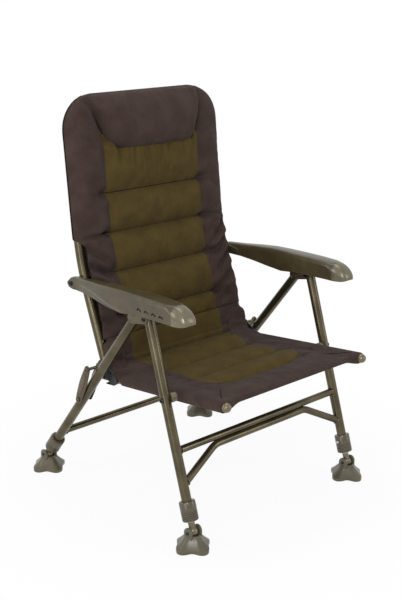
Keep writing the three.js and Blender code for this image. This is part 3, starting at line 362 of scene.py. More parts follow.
# a plate cut to an outline in the side plane, with its edges broken
def sidePlate(bm, outline, fromX, toX, edgeBreak=0.4 * mm):
    verts = [bm.verts.new((fromX, y, z)) for y, z in outline]
    face = bm.faces.new(verts)
    made = bmesh.ops.extrude_face_region(bm, geom=[face])["geom"]
    raised = [g for g in made if isinstance(g, bmesh.types.BMVert)]
    bmesh.ops.translate(bm, verts=raised, vec=(toX - fromX, 0, 0))
    flats = (set(verts), set(raised))
    rims = [e for e in bm.edges if any(set(e.verts) <= flat for flat in flats)]
    if edgeBreak:
        bmesh.ops.bevel(bm, geom=rims, offset=edgeBreak, offset_type="OFFSET", segments=2, profile=0.5,
                        affect="EDGES", material=-1)


# the outline of a strap round two eyes; a middle radius swells its waist
def strapOutline(a, aRadius, b, bRadius, middle=0.0, steps=14, swellSteps=8):
    angle = math.atan2(b.z - a.z, b.y - a.y)
    apart = math.hypot(b.y - a.y, b.z - a.z)
    wrap = math.acos((aRadius - bRadius) / apart)
    outline = []
    for centre, radius, start, sweep in ((a, aRadius, angle + wrap, 2 * (math.pi - wrap)),
                                         (b, bRadius, angle - wrap, 2 * wrap)):
        for step in range(steps + 1):
            turn = start + sweep * step / steps
            outline.append((centre.y + radius * math.cos(turn), centre.z + radius * math.sin(turn)))
        if middle:
            side = -1 if centre is a else 1
            swell = angle + side * math.pi / 2
            for step in range(1, swellSteps):
                share = step / swellSteps
                reach = mix(aRadius, bRadius, share if centre is a else 1 - share)
                reach += (middle - (aRadius + bRadius) / 2) * math.sin(math.pi * share)
                walk = share if centre is a else 1 - share
                outline.append((mix(a.y, b.y, walk) + reach * math.cos(swell),
                                mix(a.z, b.z, walk) + reach * math.sin(swell)))
    return outline


# camera, light and floor

print("stage: camera, light, floor")
cameraSetup = {
    "azimuth": -43.23,
    "elevation": 17.30,
    "roll": 0.53,
    "distance": 3040.9 * mm,
    "right": 13.54 * mm,
    "up": 478.45 * mm,
    "ahead": 18.2 * mm,  # the CAD's box is centred, the view was measured before that
    "lens": 65.06,
    "sensor": 36.0,
}


def placeCamera():
    azimuth, elevation, roll = (math.radians(cameraSetup[k]) for k in ("azimuth", "elevation", "roll"))
    back = Vector((math.sin(azimuth) * math.cos(elevation), -math.cos(azimuth) * math.cos(elevation),
                   math.sin(elevation)))
    right = Vector((math.cos(azimuth), math.sin(azimuth), 0))
    up = back.cross(right)
    rolledRight = right * math.cos(roll) + up * math.sin(roll)
    rolledUp = up * math.cos(roll) - right * math.sin(roll)
    place = back * cameraSetup["distance"] + rolledRight * cameraSetup["right"] + rolledUp * cameraSetup["up"]
    place.y += cameraSetup["ahead"]
    data = bpy.data.cameras.new("productCamera")
    data.lens = cameraSetup["lens"]
    data.sensor_width = cameraSetup["sensor"]
    data.clip_end = 30
    camera = bpy.data.objects.new("productCamera", data)
    bpy.context.scene.collection.objects.link(camera)
    camera.matrix_world = Matrix((
        (rolledRight.x, rolledUp.x, back.x, place.x),
        (rolledRight.y, rolledUp.y, back.y, place.y),
        (rolledRight.z, rolledUp.z, back.z, place.z),
        (0, 0, 0, 1),
    ))
    bpy.context.scene.camera = camera


def addSoftBox(name, place, target, width, height, power):
    data = bpy.data.lights.new(name, "AREA")
    data.shape = "RECTANGLE"
    data.size = width
    data.size_y = height
    data.energy = power
    lamp = bpy.data.objects.new(name, data)
    bpy.context.scene.collection.objects.link(lamp)
    lamp.location = place
    lamp.rotation_euler = (Vector(target) - Vector(place)).to_track_quat("-Z", "Y").to_euler()


softBoxes = {  # place, what it looks at, width, height, watts
    "keySoftBox": ((-2.4, -2.3, 2.3), (0, 0, 0.5), 1.0, 1.5, 58),
    "lowSideSoftBox": ((-2.8, -1.05, 0.85), (0, 0, 0.45), 0.9, 1.5, 14),
    "fillSoftBox": ((1.9, -2.7, 1.5), (0, 0, 0.5), 0.8, 1.8, 15),
    "topSoftBox": ((0.2, 0.3, 3.0), (0, 0, 0.4), 1.8, 1.2, 17),
    "rimStrip": ((-2.4, 1.2, 1.4), (0, 0, 0.6), 0.5, 2.0, 16),
}
stageDims = {"worldLight": 0.4, "floorRadius": 60, "glowNear": 0.35, "glowFar": 0.95, "glowUnderChair": 0.93}


# 1 where the camera, a mirror or glass looks at the background, 0 where it lights the chair
def seenDirectly(tree):
    light = addNode(tree, "ShaderNodeLightPath")
    some = addNode(tree, "ShaderNodeMath", {0: light.outputs["Is Camera Ray"], 1: light.outputs["Is Glossy Ray"]},
                   operation="MAXIMUM")
    every = addNode(tree, "ShaderNodeMath", {0: some.outputs["Value"], 1: light.outputs["Is Transmission Ray"]},
                    operation="MAXIMUM")
    return every.outputs["Value"]


def makeStage():
    d = stageDims
    scene = bpy.context.scene
    scene.view_settings.view_transform = "Standard"
    world = bpy.data.worlds.new("studioWorld")
    scene.world = world
    world.use_nodes = True
    tree = world.node_tree
    tree.nodes.clear()
    seen = seenDirectly(tree)
    dim = addNode(tree, "ShaderNodeBackground", {"Color": (1, 1, 1, 1), "Strength": d["worldLight"]})
    white = addNode(tree, "ShaderNodeBackground", {"Color": (1, 1, 1, 1), "Strength": 1.0})
    both = addNode(tree, "ShaderNodeMixShader", {0: seen, 1: dim.outputs[0], 2: white.outputs[0]})
    addNode(tree, "ShaderNodeOutputWorld", {"Surface": both.outputs[0]})
    bm = bmesh.new()
    bmesh.ops.create_circle(bm, cap_ends=True, segments=96, radius=d["floorRadius"])
    mesh = bpy.data.meshes.new("studioFloor")
    bm.to_mesh(mesh)
    bm.free()
    floor = bpy.data.objects.new("studioFloor", mesh)
    scene.collection.objects.link(floor)
    material = bpy.data.materials.new("matteWhitePaper")
    material.use_nodes = True
    tree = material.node_tree
    tree.nodes.clear()
    seen = seenDirectly(tree)
    place = addNode(tree, "ShaderNodeTexCoord").outputs["Object"]
    away = addNode(tree, "ShaderNodeVectorMath", {0: place}, operation="LENGTH")
    white = addNode(tree, "ShaderNodeMapRange", {
        "Value": away.outputs["Value"], "From Min": d["glowNear"], "From Max": d["glowFar"],
        "To Min": d["glowUnderChair"], "To Max": 1.0}, interpolation_type="SMOOTHSTEP")
    paper = addNode(tree, "ShaderNodeBsdfDiffuse", {"Color": (0.85, 0.85, 0.85, 1)})
    glow = addNode(tree, "ShaderNodeEmission", {"Color": (1, 1, 1, 1), "Strength": 1.0})
    share = addNode(tree, "ShaderNodeMath", {0: seen, 1: white.outputs["Result"]}, operation="MULTIPLY")
    both = addNode(tree, "ShaderNodeMixShader", {0: share.outputs["Value"], 1: paper.outputs[0], 2: glow.outputs[0]})
    addNode(tree, "ShaderNodeOutputMaterial", {"Surface": both.outputs[0]})
    mesh.materials.append(material)
    for name, values in softBoxes.items():
        addSoftBox(name, *values)


placeCamera()
makeStage()


# leg frames

print("frames")
frameDims = {
    "legFoot": 36 * mm,  # where the outer tube starts, along the leg from the ankle
    "legTop": 10 * mm,  # how far the front tube runs past the leg pivot
    "rearTubeTop": 12 * mm,
    "crossbar": 9.5 * mm,
    "frontCrossbarAlong": 200 * mm,
    "braceFootAlong": 115 * mm,
    "braceTopAlong": 182 * mm,
    "braceTopHalf": 166 * mm,
    "braceBend": 60 * mm,
    "rearCrossbarAlong": 112 * mm,
    "weld": 2.4,
    "plate": 3 * mm,
    "plateGap": 0.3 * mm,
    "plateRoot": 24 * mm,
    "plateEye": 12 * mm,
    "plateFoot": 13.5 * mm,
    "rivetShift": 10 * mm,
}
plateIn = tubeRadius + frameDims["plateGap"]
plateOut = plateIn + frameDims["plate"]


def weldBead(bm, place, way):
    bar, weld = frameDims["crossbar"] / mm, frameDims["weld"]
    profile = [(0, bar - 1), (0, bar + weld), (weld * 0.5, bar + weld * 0.72), (weld, bar + weld * 0.2),
               (weld * 1.2, bar - 1)]
    addSpun(bm, place, way, profile, 24)


# both outer tubes of a frame and the bar across them
def legsAndBar(bm, end, tubeEnd, barAlong):
    ankle, way = ankleAt[end], legWay[end]
    for hand in (-1, 1):
        foot = atX(ankle + way * frameDims["legFoot"], hand * halfLegs)
        drawTube(bm, [foot, atX(tubeEnd, hand * halfLegs)], tubeRadius, 36)
    bar = ankle + way * barAlong
    drawTube(bm, [atX(bar, -halfLegs), atX(bar, halfLegs)], frameDims["crossbar"])
    return bar


def weldBar(bm, bar, hand):
    weldBead(bm, atX(bar, hand * (halfLegs - tubeRadius * 0.86)), Vector((-hand, 0, 0)))


def makeFrontLegs():
    d = frameDims
    ankle, way = ankleAt["front"], legWay["front"]
    bm = bmesh.new()
    bar = legsAndBar(bm, "front", legPivot + way * d["legTop"], d["frontCrossbarAlong"])
    foot, top = ankle + way * d["braceFootAlong"], ankle + way * d["braceTopAlong"]
    corners = [atX(foot, -halfLegs), atX(top, -d["braceTopHalf"]), atX(top, d["braceTopHalf"]), atX(foot, halfLegs)]
    drawTube(bm, bendPath(corners, d["braceBend"]), d["crossbar"])
    for hand in (-1, 1):
        weldBar(bm, bar, hand)
        start = atX(foot, hand * halfLegs)
        slope = (atX(top, hand * d["braceTopHalf"]) - start).normalized()
        weldBead(bm, start + slope * tubeRadius * 0.95, slope)
    makePiece("frontLegTubes", bm, "tube", "front_legs", ["front_leg_frame"], 40)


def makeRearLegs():
    d = frameDims
    ankle, way = ankleAt["rear"], legWay["rear"]
    ahead = Vector((0, -way.z, way.y))
    tubeEnd = legPivot + ahead * (legPivot - ankle).dot(-ahead) - way * d["rearTubeTop"]
    root = tubeEnd - way * d["plateRoot"]
    bm = bmesh.new()
    bar = legsAndBar(bm, "rear", tubeEnd, d["rearCrossbarAlong"])
    for hand in (-1, 1):
        weldBar(bm, bar, hand)
    makePiece("rearLegTubes", bm, "tube", "rear_legs", ["rear_leg_frame"], 40)
    outline = strapOutline(legPivot, d["plateEye"], root, d["plateFoot"])
    plates, rivets = bmesh.new(), bmesh.new()
    for hand in (-1, 1):
        x = hand * halfLegs
        for side in (-1, 1):
            sidePlate(plates, outline, x + side * plateIn, x + side * plateOut)
        for shift in (-d["rivetShift"], d["rivetShift"]):
            for side in (-1, 1):
                outward = Vector((side, 0, 0))
                start = atX(root + way * shift, x) + outward * (plateOut - 1 * mm)
                addSpun(rivets, start, outward, [(0, 0), (0, 3), (1.2, 2.9), (1.8, 2), (2, 0)], 20)
    makePiece("pivotPlates", plates, "plate", "rear_legs", (), 40)
    makePiece("plateRivets", rivets, "plate", "rear_legs", ())


railDims = {"front": -152 * mm, "rear": 295 * mm, "crossAlong": 287 * mm, "crossRadius": 8 * mm}


def makeSeatRails():
    d = railDims
    bm = bmesh.new()
    for hand in (-1, 1):
        x = hand * halfRails
        drawTube(bm, [onRail(d["front"], 0, x), onRail(d["rear"], 0, x)], tubeRadius, 32)
    cross = [onRail(d["crossAlong"], 0, hand * halfRails) for hand in (-1, 1)]
    drawTube(bm, cross, d["crossRadius"], 24)
    makePiece("seatRails", bm, "tube", "seat", ["seat_frame"], 40)


def makeBackTube():
    bendSteps = 14
    rise = [onBack(-10 * mm, 0, halfRails)]
    for step in range(bendSteps + 1):
        rise.append(onBack(backLine["footLength"] + backLine["bendLength"] * step / bendSteps, 0, halfRails))
    shoulder = onBack(tubeTop - 2 * backLine["cornerRadius"], 0, halfRails)
    corner = onBack(tubeTop, 0, halfRails)
    flip = Vector((-1, 1, 1))
    arch = bendPath([shoulder, corner, corner * flip, shoulder * flip], backLine["cornerRadius"], 12)
    bm = bmesh.new()
    drawTube(bm, rise + arch + [point * flip for point in reversed(rise)], tubeRadius, 32)
    makePiece("backrestTube", bm, "tube", "backrest", ["backrest_frame"], 40)


makeFrontLegs()
makeRearLegs()
makeSeatRails()
makeBackTube()


# bolts, links, brackets, spacers

print("fittings")
boltDims = {"radius": 4.0, "head": 6.5, "rise": 4.0, "recess": 2.6, "washer": 0.3}
armBoltOuter = 293.5 * mm


# a bolt with its nut: the nut at the inner end, the recessed head at the outer one
def makeBolt(name, node, side, centre, innerX, outerX, body, nutRise=boltDims["rise"], headRise=boltDims["rise"],
             coat="bolt"):
    hand = sides[side]
    head, radius, recess, washer = (boltDims[k] for k in ("head", "radius", "recess", "washer"))
    start = atX(centre, hand * (innerX - washer * mm - nutRise * mm))
    grip = (outerX - innerX) / mm + 2 * washer + nutRise
    profile = [(1.2, 0), (1.2, radius - 0.6), (0, radius - 0.2), (0, head - 0.8), (0.6, head), (nutRise, head),
               (nutRise, radius), (grip, radius), (grip, head), (grip + headRise * 0.45, head - 0.1),
               (grip + headRise * 0.85, head - 1.6), (grip + headRise, recess + 0.5),
               (grip + headRise - 0.3, recess), (grip + headRise * 0.4, recess), (grip + headRise * 0.4, 0)]
    turnedPiece(name + side.capitalize(), start, Vector((hand, 0, 0)), profile, coat, body,
                [node + "_" + side], 24)


linkDims = {"outer": 309.5 * mm, "inner": 272.5 * mm, "thick": 3 * mm, "eye": 10 * mm, "middle": 14 * mm,
            "ribEye": 3 * mm, "ribMiddle": 6.5 * mm, "ribFoot": 309.2 * mm, "ribTop": 310.6 * mm}


def makeLinks(side, hand):
    d = linkDims
    outline = strapOutline(backHinge, d["eye"], linkPivot, d["eye"], d["middle"])
    body, cap = "link_" + side, side.capitalize()
    for place in ("outer", "inner"):
        bm = bmesh.new()
        sidePlate(bm, outline, hand * (d[place] - d["thick"]), hand * d[place], 0.7 * mm)
        makePiece("link" + place.capitalize() + cap, bm, "plate", body, ["link_" + place + "_" + side],
                  35)
    bm = bmesh.new()
    inset = (linkPivot - backHinge) * 0.2
    ridge = strapOutline(backHinge + inset, d["ribEye"], linkPivot - inset, d["ribEye"], d["ribMiddle"])
    sidePlate(bm, ridge, hand * d["ribFoot"], hand * d["ribTop"], 0.6 * mm)
    makePiece("linkRib" + cap, bm, "plate", body)


bracketDims = {"eye": 15 * mm, "heel": 239 * mm, "toe": 268 * mm, "floor": 3 * mm}


def makeBracket(side, hand):
    d = bracketDims
    x = hand * halfRails
    outline = strapOutline(backHinge, d["eye"], onRail(d["heel"]), plateOut)
    bm = bmesh.new()
    for way in (-1, 1):
        sidePlate(bm, outline, x + way * plateIn, x + way * plateOut)
    heel, toe = onRail(d["heel"], -plateIn), onRail(d["toe"], -plateIn)
    corners = [heel, toe, toe - railUp * d["floor"], heel - railUp * d["floor"]]
    sidePlate(bm, [(p.y, p.z) for p in corners], x - plateOut, x + plateOut)
    makePiece("hingeBracket" + side.capitalize(), bm, "black", "seat", ["hinge_bracket_" + side],
              35)


spacerDims = {"bore": 4.3, "radius": 12, "edge": 0.8, "gap": 0.3}


def makeSpacer(side, hand):
    bore, radius, edge, gap = spacerDims.values()
    start = atX(seatPivot, hand * (halfRails + tubeRadius + gap * mm))
    length = (halfLegs - halfRails - 2 * tubeRadius) / mm - 2 * gap
    profile = [(0, bore), (0, radius - 1), (edge, radius), (length - edge, radius), (length, radius - 1),
               (length, bore), (0, bore)]
    turnedPiece("pivotSpacer" + side.capitalize(), start, Vector((hand, 0, 0)), profile, "tan",
                "front_legs", ["seat_pivot_spacer_" + side])


railBallDims = {"ball": 12.2, "neck": 2.5, "collar": 12.5, "gap": 0.3 * mm, "steps": 12}


def makeRailBall(side, hand):
    ball, neck, collar, gap, steps = railBallDims.values()
    profile = [(0, 0), (0, collar), (neck - 0.6, collar), (neck, collar - 0.7), (neck + 0.6, collar - 2.3)]
    centre = neck + ball * math.cos(math.radians(35))
    for step in range(steps + 1):
        turn = math.radians(145 * (1 - step / steps))
        profile.append((centre + ball * math.cos(turn), max(ball * math.sin(turn), 0)))
    turnedPiece("railBall" + side.capitalize(), onRail(railDims["front"] - gap, 0, hand * halfRails), -railBack,
                profile, "bronze", "seat", ["rail_ball_" + side])


armPlateDims = {"hub": 13 * mm, "tip": 8 * mm, "reach": 46 * mm, "inner": 259.9 * mm, "outer": 264.6 * mm}


# the flat steel tongue that carries the armrest beside the back tube
def makeArmPlate(side, hand):
    d = armPlateDims
    bm = bmesh.new()
    outline = strapOutline(armHub, d["hub"], armHub - Vector((0, d["reach"], 0)), d["tip"])
    sidePlate(bm, outline, hand * d["inner"], hand * d["outer"])
    makePiece("armrestPlate" + side.capitalize(), bm, "plate", "armrest_bolt_" + side,
              ["armrest_plate_" + side], 35)


catchDims = {
    "plug": ((10.3 * mm, 12.5), (17.3 * mm, 11.5), (20.3 * mm, 5)),  # along the leg from its pivot, and radius
    "barAlong": 18 * mm,
    "barRadius": 4 * mm,
    "barInner": 261 * mm,
    "barOuter": 306.4 * mm,
}
catchBar = legPivot + legWay["front"] * catchDims["barAlong"]


def makeCatch(side, hand):
    d = catchDims
    bm = bmesh.new()
    path = [atX(legPivot + legWay["front"] * along, hand * halfLegs) for along, radius in d["plug"]]
    drawTube(bm, path, tubeRadius, 28, [radius for along, radius in d["plug"]])
    drawTube(bm, [atX(catchBar, hand * d["barInner"]), atX(catchBar, hand * d["barOuter"])], d["barRadius"], 20)
    makePiece("armrestCatch" + side.capitalize(), bm, "black", "front_legs", ["armrest_catch_" + side],
              40)


for side, hand in sides.items():
    makeBolt("legPivotBolt", "leg_pivot_bolt", side, legPivot, halfLegs - plateOut, halfLegs + plateOut, "front_legs")
    makeBolt("seatPivotBolt", "seat_pivot_bolt", side, seatPivot, halfRails - tubeRadius, halfLegs + tubeRadius,
             "front_legs")
    makeBolt("backHingePin", "back_hinge_pin", side, backHinge, halfRails - plateOut, halfRails + plateOut,
             "back_hinge_pins", headRise=2.0)
    for end, place, body in (("upper", backHinge, "link_" + side), ("lower", linkPivot, "rear_legs")):
        makeBolt("linkBolt" + end.capitalize(), "link_bolt_" + end, side, place, linkDims["inner"] - linkDims["thick"],
                 linkDims["outer"], body, nutRise=2.0, coat="plate")
    makeBolt("armrestBolt", "armrest_bolt", side, armHub, halfRails - tubeRadius, armBoltOuter, "armrest_bolt_" + side)
    makeArmPlate(side, hand)
    makeLinks(side, hand)
    makeBracket(side, hand)
    makeSpacer(side, hand)
    makeRailBall(side, hand)
    makeCatch(side, hand)


# telescopic legs, collars and mud feet

print("legs and feet")
collarDims = {"start": 27.0, "length": 50.0, "radius": 20.5, "chamfer": 3.5, "bore": 10.8, "seat": 12.9, "step": 8.6,
              "ribs": 5, "ribPitch": 4.6, "ribDepth": 1.3, "button": 33.0}
innerLegDims = {"foot": 23, "top": 253, "radius": 10.4}


def makeCollar(end, side, hand):
    d = collarDims
    way, x = legWay[end], hand * halfLegs
    key, cap, body = end + "_" + side, end.capitalize() + side.capitalize(), end + "_legs"
    start = atX(ankleAt[end], x) + way * d["start"] * mm
    top, radius, chamfer, bore, seat, step = (d[k] for k in ("length", "radius", "chamfer", "bore", "seat", "step"))
    profile = [(0, bore), (0, radius - chamfer), (chamfer * 0.3, radius - chamfer * 0.3), (chamfer, radius)]
    for rib in range(d["ribs"]):
        foot = chamfer + 1.4 + rib * d["ribPitch"]
        low = radius - d["ribDepth"]
        profile += [(foot, radius), (foot + 0.5, low), (foot + 1.5, low), (foot + 2.0, radius)]
    profile += [(top - 3, radius), (top - 0.9, radius - 0.9), (top, radius - 3), (top, seat), (step, seat),
                (step, bore), (0, bore)]
    turnedPiece("collar" + cap, start, way, profile, "collar", body, ["collar_" + key],
                48, 25)
    inward = Vector((-hand, 0, 0))
    hub = start + way * d["button"] * mm
    button = [(0, 0), (0, 4.4), (5.6, 4.4), (6.8, 3.8), (7.6, 2.4), (8, 0)]
    turnedPiece("collarButton" + cap, hub + inward * (radius - 3.6) * mm, inward, button, "zinc",
                "button_" + key, ["collar_button_" + key], 24)
    ring = [(0, 4.8), (0, 7.2), (1.2, 6.9), (1.4, 5.4), (0.4, 4.8), (0, 4.8)]
    turnedPiece("buttonSeat" + cap, hub + inward * (radius - 0.4) * mm, inward, ring, "collar", body,
                steps=24)
    foot, top, radius = innerLegDims.values()
    leg = [(foot, 0), (foot, radius - 0.8), (foot + 1, radius), (top, radius), (top, 0)]
    turnedPiece("innerLeg" + cap, atX(ankleAt[end], x), way, leg, "zinc", "leg_tube_" + key,
                ["inner_leg_" + key])


footDims = {"lobe": 49 * mm, "waist": 38 * mm, "rim": 9.5 * mm, "rimLift": 3.5 * mm, "shoulder": 17 * mm,
            "shoulderSwell": 3.2 * mm, "shoulderHeight": 37 * mm, "ringSides": 96, "ear": 13.5 * mm,
            "earWide": 5.5 * mm, "ball": 12.5, "gap": 0.3}


def makeAnkle(end, side, hand):
    key, cap = end + "_" + side, end.capitalize() + side.capitalize()
    ball, steps = footDims["ball"], 11
    profile = [(-ball, 0)]
    for step in range(1, steps + 1):
        turn = math.radians(180 - 137 * step / steps)
        profile.append((ball * math.cos(turn), ball * math.sin(turn)))
    profile += [(10.6, 8.5), (22.6, 8.5), (22.6, 5), (46, 5), (46, 0)]
    turnedPiece("ankle" + cap, atX(ankleAt[end], hand * halfLegs), legWay[end], profile, "bronze",
                "ankle_" + key, ["ankle_" + key])


# lays a ring of points round a centre, at a radius and a height that follow the turn
def shapeRing(verts, radiusAt, heightAt, centre):
    for vert in verts:
        turn = math.atan2(vert.co.y - centre.y, vert.co.x - centre.x)
        radius = radiusAt(turn)
        vert.co = centre + Vector((radius * math.cos(turn), radius * math.sin(turn), heightAt(turn)))


def makeFoot(end, side, hand):
    d = footDims
    ankle, x = ankleAt[end], hand * halfLegs
    key, cap = end + "_" + side, end.capitalize() + side.capitalize()
    centre, high = Vector((x, ankle.y, 0)), d["shoulderHeight"]

    def lobe(turn):
        return (1 + math.cos(4 * turn)) / 2

    def rim(turn):
        return mix(d["waist"], d["lobe"], lobe(turn))

    def lift(turn):
        return d["rimLift"] * (1 - lobe(turn)) ** 1.3

    def shoulder(turn):
        return d["shoulder"] + d["shoulderSwell"] * lobe(turn)

    rings = [  # radius and height of each ring, from the inside of the sole over the rim to the neck
        (lambda t: 12 * mm, lambda t: 24 * mm),
        (lambda t: 33 * mm, lambda t: 1.6 * mm + lift(t)),
        (lambda t: rim(t) - 1.2 * mm, lift),
        (rim, lambda t: lift(t) + 0.8 * mm),
        (rim, lambda t: d["rim"] + lift(t) - 0.8 * mm),
        (lambda t: rim(t) - 1.2 * mm, lambda t: d["rim"] + lift(t) + 0.2 * mm),
        (lambda t: mix(rim(t), shoulder(t), 0.34), lambda t: mix(d["rim"] + lift(t), high, 0.26)),
        (lambda t: mix(rim(t), shoulder(t), 0.72), lambda t: mix(d["rim"] + lift(t), high, 0.66)),
        (shoulder, lambda t: high),
        (lambda t: shoulder(t) - 2 * mm, lambda t: high + 1.4 * mm),
        (lambda t: 13.2 * mm, lambda t: high + 1.2 * mm),
        (lambda t: 12.9 * mm, lambda t: 26 * mm),
    ]
    bm = bmesh.new()
    verts = bmesh.ops.create_circle(bm, cap_ends=False, segments=d["ringSides"], radius=d["waist"],
                                    matrix=Matrix.Translation(centre))["verts"]
    edges = list({e for v in verts for e in v.link_edges})
    shapeRing(verts, *rings[0], centre)
    for ring in rings[1:]:
        made = bmesh.ops.extrude_edge_only(bm, edges=edges)["geom"]
        shapeRing([g for g in made if isinstance(g, bmesh.types.BMVert)], *ring, centre)
        edges = [g for g in made if isinstance(g, bmesh.types.BMEdge)]
    bmesh.ops.edgeloop_fill(bm, edges=edges)
    bmesh.ops.edgeloop_fill(bm, edges=[e for e in bm.edges if e.is_boundary])
    low = Vector((0, ankle.y, high - d["ear"]))
    outline = strapOutline(atX(ankle, x), d["ear"], low, d["ear"])
    for way in (-1, 1):  # the two ears that hold the ball
        inner = x + way * (d["ball"] * mm + d["gap"] * mm)
        sidePlate(bm, outline, inner, inner + way * d["earWide"], 1.1 * mm)
    makePiece("mudFoot" + cap, bm, "foot", "foot_" + key, ["foot_" + key], 28)
    half = d["ball"] + d["gap"] + d["earWide"] / mm
    far = 2 * half + 0.6
    profile = [(-0.6, 0), (-0.6, 2.2), (-2.2, 2.2), (-2.2, 4.2), (0, 4.6), (0, 3), (far, 3), (far, 4.6),
               (far + 2.2, 4.2), (far + 2.2, 2.2), (far + 0.6, 2.2), (far + 0.6, 0)]
    turnedPiece("footPin" + cap, atX(ankle, x - (half + 0.3) * mm), Vector((1, 0, 0)), profile, "black",
                "foot_" + key, ["foot_pin_" + key], 24)


for end in ends:
    for side, hand in sides.items():
        makeCollar(end, side, hand)
        makeAnkle(end, side, hand)
        makeFoot(end, side, hand)


# blocks shaped by a rule: a cube cut into a fine grid, each point laid in its place


def gridBlock(cuts):
    bm = bmesh.new()
    bmesh.ops.create_cube(bm, size=2)
    for axis, count in enumerate(cuts):
        across = [e for e in bm.edges if abs(e.verts[0].co[axis] - e.verts[1].co[axis]) > 1e-6]
        bmesh.ops.subdivide_edges(bm, edges=across, cuts=count, use_grid_fill=True)
    return bm


def roundCorner(a, b, halfA, halfB, radius):
    innerA, innerB = halfA - radius, halfB - radius
    nearA, nearB = min(max(a, -innerA), innerA), min(max(b, -innerB), innerB)
    off = Vector((a - nearA, b - nearB))
    if off.length > 1e-9 and abs(off.x) > 1e-9 and abs(off.y) > 1e-9:
        off = off.normalized() * radius
    return nearA + off.x, nearB + off.y


# armrests

print("armrests")
armDims = {
    "rear": -15.0,
    "reach": 448.0,
    "outer": 310.5,
    "rearOuter": 293.0,
    "inner": 257.0,
    "rearInner": 265.0,
    "waist": 175.0,
    "flare": 300.0,
    "corner": 9.0,
    "crown": 2.5,
    "setBack": 2.6,
    "noseBegin": 384.0,
    "noseCorner": 20.0,
    "noseCrown": 4.5,
    "nose": 396.0,  # where the polished nose starts to fall off
    "noseTip": (-3, 4.6),  # the nose's upper and lower edge at its tip
    "noseFall": ((1.9, 0.65), (2.2, 0.6)),
    "ceiling": 6.0,  # the hollow under the armrest ends this far below its top
    "stations": [  # ahead of the hub, top over it, underside below it, in millimetres
        (-15, 3, 3), (-12.5, 8, 8), (-8, 11.4, 11), (-2, 13.2, 12.8), (10, 14.6, 14), (60, 19, 13), (110, 24.5, 15.5),
        (170, 30, 21), (220, 32.5, 23.5), (280, 34, 14.6), (340, 34.5, 12), (388, 33.4, 10.4), (396, 32.6, 10.2),
    ],
}


def armAt(ahead, column):
    d, rows = armDims, armDims["stations"]
    if ahead > d["nose"]:
        past = (ahead - d["nose"]) / (d["reach"] - d["nose"])
        late, soft = d["noseFall"][column - 1]
        return mix(d["noseTip"][column - 1], rows[-1][column], max(0, 1 - past ** late) ** soft)
    for low, high in zip(rows, rows[1:]):
        if ahead <= high[0]:
            return mix(low[column], high[column], (ahead - low[0]) / (high[0] - low[0]))


def makeArmrest(side, hand):
    d = armDims
    bm = gridBlock((15, 110, 13))

    def lay(u, v, w):
        ahead = mix(d["rear"], d["reach"], 1 - (1 - (v + 1) / 2) ** 1.3)
        outer = mix(d["rearOuter"], d["outer"], smoothStep(ahead, 0, d["waist"]))
        inner = mix(d["rearInner"], d["inner"], smoothStep(ahead, d["waist"], d["flare"]))
        top, under = armAt(ahead, 1), armAt(ahead, 2)
        halfWide, halfHigh = (outer - inner) / 2, (top + under) / 2
        rounder = smoothStep(ahead, d["noseBegin"], d["noseBegin"] + 28)
        radius = min(mix(d["corner"], d["noseCorner"], rounder), halfHigh * 0.9, halfWide * 0.8)
        a, b = u * halfWide, w * halfHigh
        if w > 0:
            a, b = roundCorner(a, b, halfWide, halfHigh, radius)
            higher = smoothStep(ahead, d["noseBegin"], d["noseBegin"] + 36)
            b += mix(d["crown"], d["noseCrown"], higher) * (1 - u * u) * w
        if u > 0.98:  # the lower band of the outer wall is set back
            ridge = mix(0.1, -0.9, smoothStep(ahead, 20, 250))
            setBack = d["setBack"] * smoothStep(-w, -ridge - 0.05, -ridge + 0.12) * smoothStep(ahead, 6, 26)
            a -= setBack * (1 - smoothStep(ahead, 200, 250))
        noseRound = min(max(0, (ahead - d["nose"]) / (d["reach"] - d["nose"])), 1)
        a *= 0.44 + 0.56 * math.sqrt(1 - noseRound ** 2.8)
        x = hand * ((outer + inner) / 2 + a)
        return Vector((x * mm, armHub.y - ahead * mm, armHub.z + ((top - under) / 2 + b) * mm))

    params = [vert.co.copy() for vert in bm.verts]
    bm.verts.ensure_lookup_table()
    hollow = [f for f in bm.faces if all(abs(p.z + 1) < 1e-6 and -0.9 < p.y < 0.72 and abs(p.x) < 0.98
                                         for p in (params[v.index] for v in f.verts))]
    for face in bm.faces:
        middle = sum(params[v.index].y for v in face.verts) / len(face.verts)
        face.material_index = 1 if middle > 0.685 else 0
    for vert, co in zip(bm.verts, params):
        vert.co = lay(*co)
    bmesh.ops.recalc_face_normals(bm, faces=bm.faces)
    made = bmesh.ops.extrude_face_region(bm, geom=hollow)["geom"]
    for vert in (g for g in made if isinstance(g, bmesh.types.BMVert)):
        vert.co.z = armHub.z + (armAt((armHub.y - vert.co.y) / mm, 1) - d["ceiling"]) * mm
    bmesh.ops.delete(bm, geom=[f for f in hollow if f.is_valid], context="FACES_ONLY")
    piece = makePiece("armrest" + side.capitalize(), bm, ["arm", "nose"], "armrest_" + side,
                      ["armrest_" + side], 42)
    cutSlits(piece, hand)
    noseStart, low = d["nose"] * mm + 3 * mm, armHub.z - 2 * mm
    for edge in piece.data.edges:  # the nose is one smooth round
        place = sum((piece.data.vertices[v].co for v in edge.vertices), Vector()) / 2
        past = armHub.y - place.y - noseStart
        if past > 0 and place.z > low - past * 0.12:
            edge.use_edge_sharp = False


slitDims = {"count": 4, "pitch": 26.5 * mm, "ahead": 9 * mm, "over": 6.5 * mm, "inner": 307.2 * mm, "outer": 314 * mm,
            "outline": ((5, -6), (0, -1.5), (-10, -6), (-10, -2.6), (0, 2.4), (6, -2.6))}
